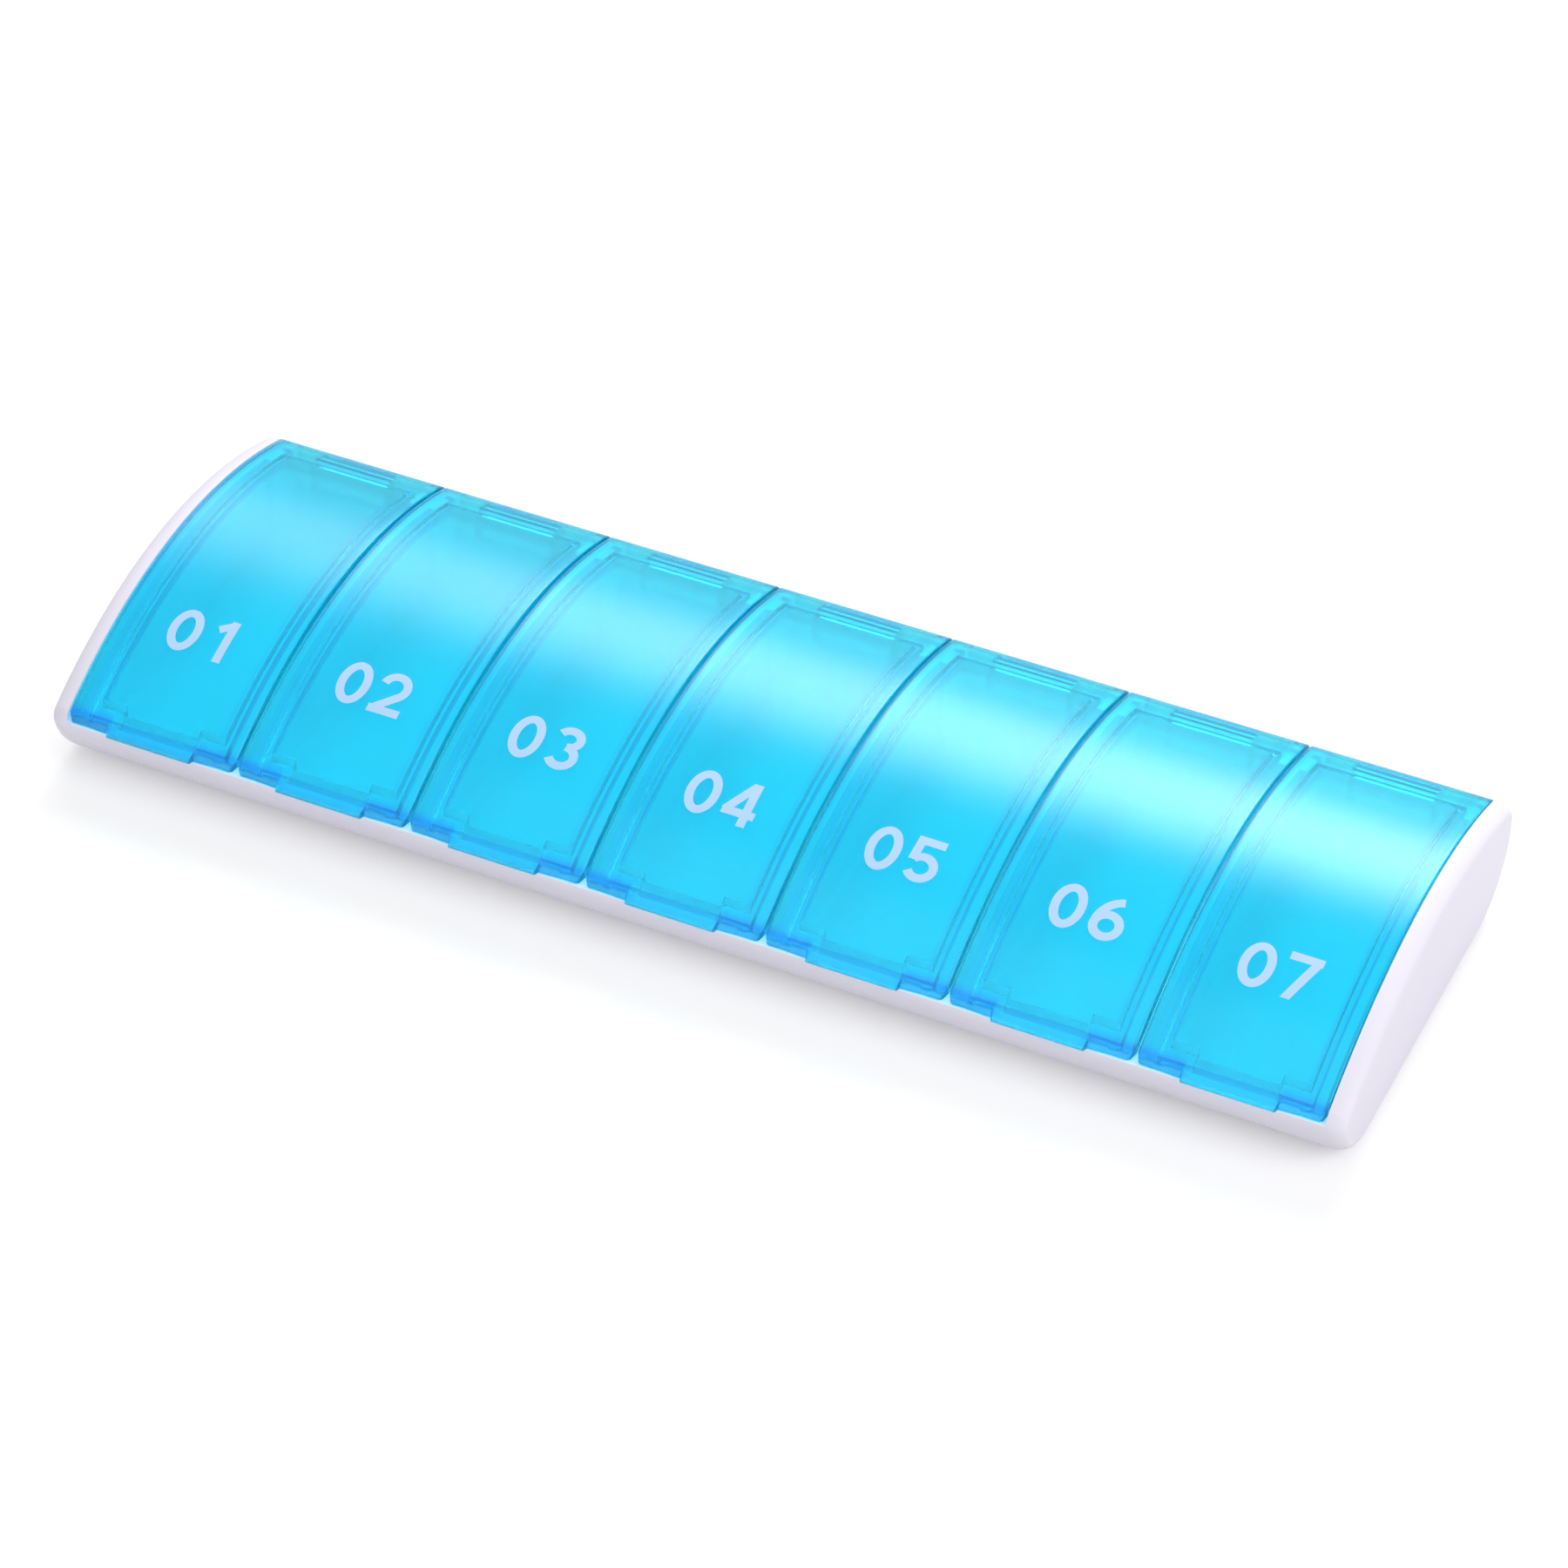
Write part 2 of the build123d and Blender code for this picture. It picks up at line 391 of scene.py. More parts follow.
class NodeTree:
    """A node tree under construction, with short calls to add and wire nodes."""

    def __init__(self, tree: bpy.types.NodeTree) -> None:
        """Keeps the tree to work on."""
        self.tree = tree

    def add(self, kind: str, **values: object) -> bpy.types.Node:
        """Adds a node.

        Args:
            kind: Blender's type name of the node.
            **values: Input sockets by name, with _ for a space: a value, or an output to wire.

        Returns:
            The new node.
        """
        node = self.tree.nodes.new(kind)
        for name, value in values.items():
            self.feed(node.inputs[name.replace("_", " ")], value)
        return node

    def chain(self, kind: str, *given: object, **settings: object) -> bpy.types.NodeSocket:
        """Adds a node whose inputs are fed in their order.

        Args:
            kind: Blender's type name of the node.
            *given: A value, or an output to wire, for each of the first inputs.
            **settings: Node properties to set.

        Returns:
            The node's first output.
        """
        node = self.tree.nodes.new(kind)
        for name, value in settings.items():
            setattr(node, name, value)
        for socket, value in zip(node.inputs, given):
            self.feed(socket, value)
        return node.outputs[0]

    def blend(self, share: object, first: object, second: object) -> bpy.types.NodeSocket:
        """Mixes two colours.

        Args:
            share: How much of the second colour shows, from 0 to 1.
            first: Colour where the share is 0.
            second: Colour where the share is 1.

        Returns:
            The mixed colour's output.
        """
        node = self.add("ShaderNodeMix", Factor=share)
        node.data_type = "RGBA"
        for index, colour in ((6, first), (7, second)):
            self.feed(node.inputs[index], colour)
        return node.outputs[2]

    def feed(self, socket: bpy.types.NodeSocket, value: object) -> None:
        """Sets an input socket, or wires it to an output."""
        if isinstance(value, bpy.types.NodeSocket):
            self.tree.links.new(value, socket)
        else:
            socket.default_value = value


def add_sockets(tree: bpy.types.NodeTree, side: str, **kinds: str) -> None:
    """Gives a tree its sockets.

    Args:
        tree: The tree.
        side: INPUT or OUTPUT.
        **kinds: Socket kinds by name, with _ for a space.
    """
    for name, kind in kinds.items():
        label = name.replace("_", " ")
        tree.interface.new_socket(name=label, in_out=side, socket_type=f"NodeSocket{kind}")


@dataclass(frozen=True)
class RowTree:
    """Geometry node tree that repeats a small solid along the row at even steps."""

    name: str = "repeat along row"

    @cached_property
    def tree(self) -> bpy.types.NodeTree:
        """The tree: a line of points, one copy on each, made real, with the material set."""
        tree = bpy.data.node_groups.new(self.name, "GeometryNodeTree")
        add_sockets(tree, "INPUT", Solid="Geometry", Count="Int", First="Float", Step="Float")
        add_sockets(tree, "INPUT", Material="Material")
        add_sockets(tree, "OUTPUT", Row="Geometry")
        build = NodeTree(tree)
        given = build.add("NodeGroupInput").outputs
        line = build.add("GeometryNodeMeshLine", Count=given["Count"])
        for end, name in (("Start Location", "First"), ("Offset", "Step")):
            build.feed(line.inputs[end], build.chain("ShaderNodeCombineXYZ", given[name]))
        points, solid = line.outputs[0], given["Solid"]
        copies = build.add("GeometryNodeInstanceOnPoints", Points=points, Instance=solid)
        real = build.chain("GeometryNodeRealizeInstances", copies.outputs[0])
        coated = build.add("GeometryNodeSetMaterial", Geometry=real, Material=given["Material"])
        build.add("NodeGroupOutput", Row=coated.outputs[0])
        return tree

    def repeat(
        self, solid: bpy.types.Mesh, count: int, first: float, step: float, material: bpy.types.Material
    ) -> bpy.types.Mesh:
        """Runs the tree on a solid.

        Args:
            solid: Closed mesh to repeat, used up here.
            count: Number of copies.
            first: X of the first copy.
            step: Distance from copy to copy.
            material: Finish of the copies.

        Returns:
            A plain mesh with every copy in its place.
        """
        thing = new_object("row", solid)
        modifier = thing.modifiers.new("row", "NODES")
        modifier.node_group = self.tree
        wanted = {"Count": count, "First": first, "Step": step, "Material": material}
        for item in self.tree.interface.items_tree:
            if item.name in wanted and item.in_out == "INPUT":
                modifier[item.identifier] = wanted[item.name]
        settle(thing)
        mesh = thing.data
        bpy.data.objects.remove(thing)
        return mesh


# Finishes


def new_material(name: str) -> tuple[bpy.types.Material, NodeTree, bpy.types.Node]:
    """Starts a material.

    Args:
        name: Name of the finish.

    Returns:
        The material, its tree and its Principled node.
    """
    material = bpy.data.materials.new(name)
    material.use_nodes = True
    return material, NodeTree(material.node_tree), material.node_tree.nodes["Principled BSDF"]


def moulded_surface() -> bpy.types.NodeTree:
    """Shader group shared by the plastics and the print: clouded colour, uneven gloss, fine grain.

    Returns:
        The group, with colour, roughness and height outputs that change over the surface.
    """
    found = bpy.data.node_groups.get("moulded surface")
    if found:
        return found
    cloud_detail, grain_detail, cloud_height = 3.0, 4.0, 0.5
    grain_low, grain_high = 0.3, 0.7
    tree = bpy.data.node_groups.new("moulded surface", "ShaderNodeTree")
    add_sockets(tree, "INPUT", Colour="Color", Cloud_Colour="Color", Cloud_Scale="Float")
    add_sockets(tree, "INPUT", Grain_Scale="Float", Gloss="Float", Dull="Float")
    add_sockets(tree, "OUTPUT", Colour="Color", Roughness="Float", Height="Float")
    build = NodeTree(tree)
    given = build.add("NodeGroupInput").outputs
    place = build.add("ShaderNodeTexCoord").outputs["Object"]
    noise = "ShaderNodeTexNoise"
    cloud = build.add(noise, Vector=place, Scale=given["Cloud Scale"], Detail=cloud_detail).outputs[0]
    grain = build.add(noise, Vector=place, Scale=given["Grain Scale"], Detail=grain_detail).outputs[0]
    tone = build.blend(cloud, given["Colour"], given["Cloud Colour"])
    ends = given["Gloss"], given["Dull"]
    gloss = build.chain("ShaderNodeMapRange", grain, grain_low, grain_high, *ends)
    height = build.chain("ShaderNodeMath", cloud, cloud_height, grain, operation="MULTIPLY_ADD")
    build.add("NodeGroupOutput", Colour=tone, Roughness=gloss, Height=height)
    return tree


@dataclass(frozen=True)
class Finish:
    """Colour and gloss that a moulded or printed surface varies around."""

    name: str
    colour: Colour
    cloud_colour: Colour
    cloud_scale: float
    grain_scale: float
    gloss: float
    dull: float
    bump: float

    def start(self) -> tuple[bpy.types.Material, NodeTree, bpy.types.Node, bpy.types.Node]:
        """Starts the material.

        Returns:
            The material, its tree, its Principled node and the shared surface group's node.
        """
        material, build, shader = new_material(self.name)
        surface = build.add("ShaderNodeGroup")
        surface.node_tree = moulded_surface()
        for trait in ("colour", "cloud_colour", "cloud_scale", "grain_scale", "gloss", "dull"):
            surface.inputs[trait.replace("_", " ").title()].default_value = getattr(self, trait)
        build.feed(shader.inputs["Base Color"], surface.outputs["Colour"])
        build.feed(shader.inputs["Roughness"], surface.outputs["Roughness"])
        if self.bump > 0:
            height = surface.outputs["Height"]
            bump = build.add("ShaderNodeBump", Height=height, Strength=1.0, Distance=self.bump * MM)
            build.feed(shader.inputs["Normal"], bump.outputs[0])
        return material, build, shader, surface


@dataclass(frozen=True)
class TrayPlastic(Finish):
    """White satin moulding with a breath of lilac."""

    name: str = "white satin moulding"
    colour: Colour = (0.860, 0.825, 0.935, 1.0)
    cloud_colour: Colour = (0.835, 0.810, 0.925, 1.0)
    cloud_scale: float = 45.0
    grain_scale: float = 2600.0
    gloss: float = 0.46
    dull: float = 0.58
    bump: float = 0.004

    @cached_property
    def material(self) -> bpy.types.Material:
        """The finished material."""
        material, _, shader, _ = self.start()
        shader.inputs["IOR"].default_value = PLASTIC_IOR
        return material


@dataclass(frozen=True)
class LidPlastic(Finish):
    """Glossy see-through blue, deeper where the moulding is thick, with painted shade beside the finger
    lip and along the seams.
    """

    name: str = "glossy blue moulding"
    colour: Colour = (0.004, 0.765, 0.890, 1.0)
    cloud_colour: Colour = (0.003, 0.735, 0.870, 1.0)
    cloud_scale: float = 60.0
    grain_scale: float = 900.0
    gloss: float = 0.16
    dull: float = 0.20
    bump: float = 0.0
    # deep blue of thick plastic, also laid on as painted shade beside the finger lip and along the seams
    thick_and_shade_colour: Colour = (0.002, 0.31, 0.90, 1.0)
    shadow_tint: Colour = (0.50, 0.98, 1.0, 1.0)
    clearness: float = 0.88
    thick_and_shade_name: str = "depth"

    @cached_property
    def material(self) -> bpy.types.Material:
        """The finished material. Lamps shine through it into the compartments."""
        material, build, shader, surface = self.start()
        # the per-point share mixes in the deep blue: thick plastic, plus painted shade beside the finger
        # lip and along the seams
        depth = build.add("ShaderNodeAttribute")
        depth.attribute_name = self.thick_and_shade_name
        tone = build.blend(depth.outputs["Fac"], surface.outputs["Colour"], self.thick_and_shade_colour)
        build.feed(shader.inputs["Base Color"], tone)
        shader.inputs["IOR"].default_value = PLASTIC_IOR
        shader.inputs["Transmission Weight"].default_value = self.clearness
        open_way = build.chain("ShaderNodeBsdfTransparent", self.shadow_tint)
        shadow_ray = build.add("ShaderNodeLightPath").outputs["Is Shadow Ray"]
        choice = build.chain("ShaderNodeMixShader", shadow_ray, shader.outputs[0], open_way)
        build.feed(material.node_tree.nodes["Material Output"].inputs["Surface"], choice)
        return material


@dataclass(frozen=True)
class Ink(Finish):
    """Pale printed numerals."""

    name: str = "pale print"
    colour: Colour = (0.50, 0.73, 1.0, 1.0)
    cloud_colour: Colour = (0.44, 0.68, 0.98, 1.0)
    cloud_scale: float = 500.0
    grain_scale: float = 5000.0
    gloss: float = 0.35
    dull: float = 0.55
    bump: float = 0.002

    @cached_property
    def material(self) -> bpy.types.Material:
        """The finished material."""
        return self.start()[0]


@dataclass(frozen=True)
class PinSteel:
    """Drawn stainless wire, with fine lines along its length."""

    name: str = "drawn wire"
    colour: Colour = (0.74, 0.75, 0.77, 1.0)
    line_colour: Colour = (0.58, 0.59, 0.61, 1.0)
    line_scale: Vector = field(default_factory=lambda: Vector((60.0, 9000.0, 9000.0)))
    line_detail: float = 3.0
    gloss: float = 0.22
    dull: float = 0.40

    @cached_property
    def material(self) -> bpy.types.Material:
        """The finished material."""
        material, build, shader = new_material(self.name)
        place = build.add("ShaderNodeTexCoord").outputs["Object"]
        drawn = build.add("ShaderNodeMapping", Vector=place, Scale=self.line_scale).outputs[0]
        noise = build.add("ShaderNodeTexNoise", Vector=drawn, Scale=1.0, Detail=self.line_detail)
        lines = noise.outputs[0]
        build.feed(shader.inputs["Base Color"], build.blend(lines, self.colour, self.line_colour))
        gloss = build.chain("ShaderNodeMapRange", lines, 0.0, 1.0, self.gloss, self.dull)
        build.feed(shader.inputs["Roughness"], gloss)
        shader.inputs["Metallic"].default_value = 1.0
        return material


# The box


@dataclass(frozen=True)
class BoxShape:
    """Section and row of the whole box, millimetres. What the frame gives is read from it."""

    days: int
    pitch: float
    half_length: float
    half_lid: float
    front: float
    back: float
    top: float
    hinge: Point
    pin_radius: float
    front_height: float = 9.25
    back_height: float = 13.75
    back_straight: float = 1.0
    nose_round: float = 2.6
    lid_thickness: float = 1.6
    bed_gap: float = 0.3
    hinge_gap: float = 0.3
    seat_height: float = 8.6
    ear_half_width: float = 2.0
    heel_turn: float = 20.0
    latch_width: float = 4.6
    latch_inset: float = 2.4

    @classmethod
    def from_frame(cls, lip_reach: float) -> "BoxShape":
        """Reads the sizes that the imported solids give.

        Args:
            lip_reach: How far the finger lips stand forward of the tray.

        Returns:
            The box's shape.
        """
        _, tray_high = (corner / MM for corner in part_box("tray"))
        lid_low, lid_high = (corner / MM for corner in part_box("day_1_lid"))
        pin_low, pin_high = (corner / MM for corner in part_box("day_1_hinge_pin"))
        places = [Vector(joint["pos_m"]) / MM for joint in frame["joints"]]
        return cls(
            days=len(places),
            pitch=places[1].x - places[0].x,
            half_length=tray_high.x,
            half_lid=(lid_high.x - lid_low.x) / 2,
            front=lid_low.y + lip_reach,
            back=tray_high.y,
            top=tray_high.z,
            hinge=(places[0].y, places[0].z),
            pin_radius=(pin_high.y - pin_low.y) / 2,
        )

    @cached_property
    def crown(self) -> Point:
        """Centre of the arched top."""
        depth = self.back - self.front
        front_fall, back_fall = self.top - self.front_height, self.top - self.back_height
        bend = back_fall - front_fall
        slope = 2 * front_fall * depth
        level = front_fall * (front_fall * back_fall - depth**2 - back_fall**2)
        setback = (math.sqrt(slope**2 - 4 * bend * level) - slope) / (2 * bend)
        radius = (setback**2 + front_fall**2) / (2 * front_fall)
        return self.front + setback, self.top - radius

    @cached_property
    def crown_radius(self) -> float:
        """Radius of the arched top."""
        return self.top - self.crown[1]

    @cached_property
    def knuckle_radius(self) -> float:
        """Radius of a lid's rounded back edge about its pin."""
        return self.back - self.hinge[0]

    @cached_property
    def knuckle_turn(self) -> float:
        """Turn about the pin where the arch runs into the rounded back edge."""
        return turn_to(self.crown, self.hinge)

    @cached_property
    def ear_radius(self) -> float:
        """Radius of the tray's pin ears."""
        return self.knuckle_radius - self.lid_thickness - self.hinge_gap

    @cached_property
    def swing_radius(self) -> float:
        """Radius kept clear about the pin for a lid's back edge."""
        return self.knuckle_radius + self.hinge_gap

    @cached_property
    def bed_radius(self) -> float:
        """Radius of the partitions' tops."""
        return self.crown_radius - self.lid_thickness - self.bed_gap

    @cached_property
    def front_hub(self) -> Point:
        """Centre of the rounded front."""
        return self.front + self.front_height, self.front_height

    @cached_property
    def back_round(self) -> float:
        """Radius of the rounded back."""
        return self.hinge[1] - self.back_straight

    @cached_property
    def back_hub(self) -> Point:
        """Centre of the rounded back."""
        return self.back - self.back_round, self.back_round

    @cached_property
    def nose(self) -> Point:
        """Centre of the small round between the front and the arch."""
        near, far = self.front_height - self.nose_round, self.crown_radius - self.nose_round
        across, up = self.crown[0] - self.front_hub[0], self.crown[1] - self.front_hub[1]
        span = math.hypot(across, up)
        half = math.acos((near**2 + span**2 - far**2) / (2 * near * span))
        return polar(self.front_hub, near, turn_to(self.front_hub, self.crown) - math.degrees(half))

    @cached_property
    def seams(self) -> list[float]:
        """X of every seam, both ends of the row included."""
        return [(index - self.days / 2) * self.pitch for index in range(self.days + 1)]

    @cached_property
    def middles(self) -> list[float]:
        """X of the middle of every lid."""
        return [seam + self.pitch / 2 for seam in self.seams[:-1]]

    def arch(self, y: np.ndarray | float, radius: float) -> np.ndarray:
        """Height of the arch of this radius at y."""
        return self.crown[1] + np.sqrt(radius**2 - (np.asarray(y, float) - self.crown[0]) ** 2)

    def arch_meets(self, height: float, radius: float) -> float:
        """Front y at which the arch of this radius is this high."""
        return self.crown[0] - math.sqrt(radius**2 - (height - self.crown[1]) ** 2)

    def outline(self) -> np.ndarray:
        """End view of the closed box, counter-clockwise from the front of its base."""
        nose_front, nose_top = turn_to(self.front_hub, self.nose) % 360, turn_to(self.crown, self.nose)
        rounds = [
            arc(self.back_hub, self.back_round, -90.0, 0.0),
            arc(self.hinge, self.knuckle_radius, 0.0, self.knuckle_turn),
            arc(self.crown, self.crown_radius, self.knuckle_turn, nose_top, step=1.0)[1:],
            arc(self.nose, self.nose_round, nose_top, nose_front)[1:],
            arc(self.front_hub, self.front_height, nose_front, 270.0)[1:],
        ]
        return np.concatenate(rounds)


@dataclass
class Tray:
    """White moulding: shell, partitions, pin ears and catch ridges."""

    shape: BoxShape
    finish: TrayPlastic
    end_round: float = 1.3
    end_stretch: float = 1.8
    wall: float = 1.8
    floor: float = 1.6
    partition: float = 2.0
    pocket_round: float = 0.9
    sill_height: float = 8.5
    back_lip: float = 0.6
    ear_foot: float = 0.8
    pin_seat_fit: float = 0.02
    snap_grip: float = 0.15
    root: float = 0.8
    root_turn: float = 2.0
    root_high: float = -15.0
    root_low: float = -60.0
    overlap: float = 0.03
    catch_reach: float = 0.2
    catch_height: float = 0.7
    open_turn: float = 122.0
    margin: float = 6.0

    @cached_property
    def sky(self) -> float:
        """Height well clear of the box, for tools that cut down from above."""
        return self.shape.top + self.margin

    @cached_property
    def lip_turn(self) -> float:
        """Turn about the pin at which the swing of a lid's back edge leaves the back wall."""
        lip = self.shape.knuckle_radius - self.back_lip
        return -math.degrees(math.acos(lip / self.shape.swing_radius))

    @cached_property
    def low_turn(self) -> float:
        """Lowest turn about the pin that an open lid's heel reaches."""
        return self.shape.heel_turn - self.open_turn

    def bed(self) -> bpy.types.Mesh:
        """Tool that clears the row for the lids and the way their back edges swing."""
        shape = self.shape
        hinge = shape.hinge
        far_front, far_back = shape.front - self.margin, shape.back + self.margin
        start = shape.arch_meets(self.sill_height, shape.bed_radius)
        first = turn_to(shape.crown, (start, self.sill_height))
        ring = np.concatenate(
            [
                [(far_front, self.sill_height)],
                arc(shape.crown, shape.bed_radius, first, shape.knuckle_turn, step=1.0),
                [hinge],
                arc(hinge, shape.swing_radius, self.low_turn, self.lip_turn),
                [(far_back, polar(hinge, shape.swing_radius, self.lip_turn)[1])],
                [(far_back, self.sky), (far_front, self.sky)],
            ]
        )
        return rounded_bar(ring, shape.seams[0], shape.seams[-1])

    def pocket(self) -> np.ndarray:
        """Section of a compartment: floor, rounded front and back, open upwards."""
        shape = self.shape
        front_radius, back_radius = shape.front_height - self.wall, shape.back_round - self.wall
        return np.concatenate(
            [
                arc((shape.back_hub[0], self.floor + back_radius), back_radius, -90.0, 0.0),
                [(shape.back - self.wall, self.sky), (shape.front + self.wall, self.sky)],
                arc((shape.front_hub[0], self.floor + front_radius), front_radius, 180.0, 270.0),
            ]
        )

    def ear(self, start: float, end: float) -> bpy.types.Mesh:
        """A pin ear with its buttress and the slot that the pin snaps in through.

        Args:
            start: Lowest x.
            end: Highest x.

        Returns:
            A closed mesh.
        """
        shape = self.shape
        hinge = shape.hinge
        seat = shape.pin_radius + self.pin_seat_fit
        slot = shape.pin_radius - self.snap_grip
        slot_turn = math.degrees(math.acos(slot / seat))
        ear_slot = math.degrees(math.acos(slot / shape.ear_radius))
        foot = hinge[0] - shape.swing_radius - self.ear_foot
        slot_front = hinge[0] - slot
        low, high = self.low_turn - self.overlap, self.lip_turn - self.root_turn
        root_radius = shape.back_round - self.root
        top, swing = shape.bed_radius - self.overlap, shape.swing_radius + self.overlap
        first, last = (turn_to(shape.crown, (y, float(shape.arch(y, top)))) for y in (foot, slot_front))
        ring = np.concatenate(
            [
                arc(shape.crown, top, first, last, step=1.0),
                arc(hinge, seat, 180.0 - slot_turn, 360.0 + slot_turn, step=12.0),
                arc(hinge, shape.ear_radius, ear_slot, low, step=8.0),
                arc(hinge, swing, low, high, step=6.0),
                arc(shape.back_hub, root_radius, self.root_high, self.root_low, step=7.0),
                [(foot, self.floor / 2)],
            ]
        )[::-1]
        return rounded_bar(ring, start, end)

    def ears(self, rows: RowTree) -> bpy.types.Mesh:
        """Ears on every partition, and half ears on the two end walls.

        Args:
            rows: Tree that repeats a solid along the row.

        Returns:
            One mesh with all the ears.
        """
        shape = self.shape
        half, buried = shape.ear_half_width, self.partition / 2
        left, *between, right = shape.seams
        ends = [self.ear(left - buried, left + half), self.ear(right - half, right + buried)]
        whole = self.ear(-half, half)
        middle = rows.repeat(whole, len(between), between[0], shape.pitch, self.finish.material)
        return joined([middle, *ends])

    def catch(self) -> bpy.types.Mesh:
        """One catch ridge inside the top of the front wall."""
        inner = self.shape.front + self.wall
        high = self.sill_height - self.overlap
        low = high - self.catch_height
        root = inner - self.wall / 2
        crest = (inner + self.catch_reach, (low + high) / 2)
        foot, head = (inner - self.overlap, low), (inner - self.overlap, high)
        ring = np.array([(root, low), foot, crest, head, (root, high)])
        return rounded_bar(ring, -self.shape.latch_width / 2, self.shape.latch_width / 2)

    def build(self, rows: RowTree) -> bpy.types.Object:
        """Builds, dresses and places the tray.

        Args:
            rows: Tree that repeats the ears and catches along the row.

        Returns:
            The finished piece.
        """
        shape = self.shape
        material = self.finish.material
        end = shape.half_length
        body = rounded_bar(shape.outline(), -end, end, self.end_round, self.end_stretch)
        tray = new_object("tray_moulding", body)
        combine(tray, self.bed(), Joining.CUT)
        inset = self.partition / 2
        spans = zip(shape.seams, shape.seams[1:])
        section = self.pocket()
        pockets = [rounded_bar(section, a + inset, b - inset, self.pocket_round) for a, b in spans]
        combine(tray, joined(pockets), Joining.CUT)
        combine(tray, self.ears(rows), Joining.FUSE)
        reach = shape.latch_inset + shape.latch_width / 2
        for first in (shape.seams[0] + reach, shape.seams[1] - reach):
            ridges = rows.repeat(self.catch(), shape.days, first, shape.pitch, material)
            combine(tray, ridges, Joining.FUSE)
        polish(tray)
        coat(tray, material)
        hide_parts("tray")
        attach(tray, "tray")
        return tray


@dataclass(frozen=True)
class ThickBlueAndShade:
    """Shares of the deep colour where a lid is thick or seen edge on, and of painted shade beside the
    finger lip and at the seams, with their fades, millimetres.
    """

    strip: float = 0.03
    line: float = 0.25
    band: float = 0.18
    lip: float = 0.6
    # painted shade beside the finger lip at the front corners, laid over the deeper blue of the solid nose
    thick_and_shade_by_lip: float = 0.95
    # side edges: deeper blue seen edge on, plus painted shade between lids that grows towards the back
    edge_and_shade_front: float = 0.10
    edge_and_shade_back: float = 0.45
    barrel: float = 0.2
    strip_fade: Point = (-0.2, 0.0)
    line_fade: Point = (0.08, 0.22)
    line_start: Point = (0.0, 1.0)
    band_fade: Point = (-0.3, 0.1)
    lip_fade: Point = (0.2, 1.0)
    beside_lip: Point = (-0.3, 0.0)
    # where the painted shade beside the lip and at the seams fades
    thick_and_shade_by_lip_fade: Point = (-0.9, -0.3)
    edge_and_shade_rise: Point = (8.0, 25.0)
    edge_and_shade_fade: Point = (-0.45, -0.2)
    barrel_fade: Point = (-2.2, -1.4)


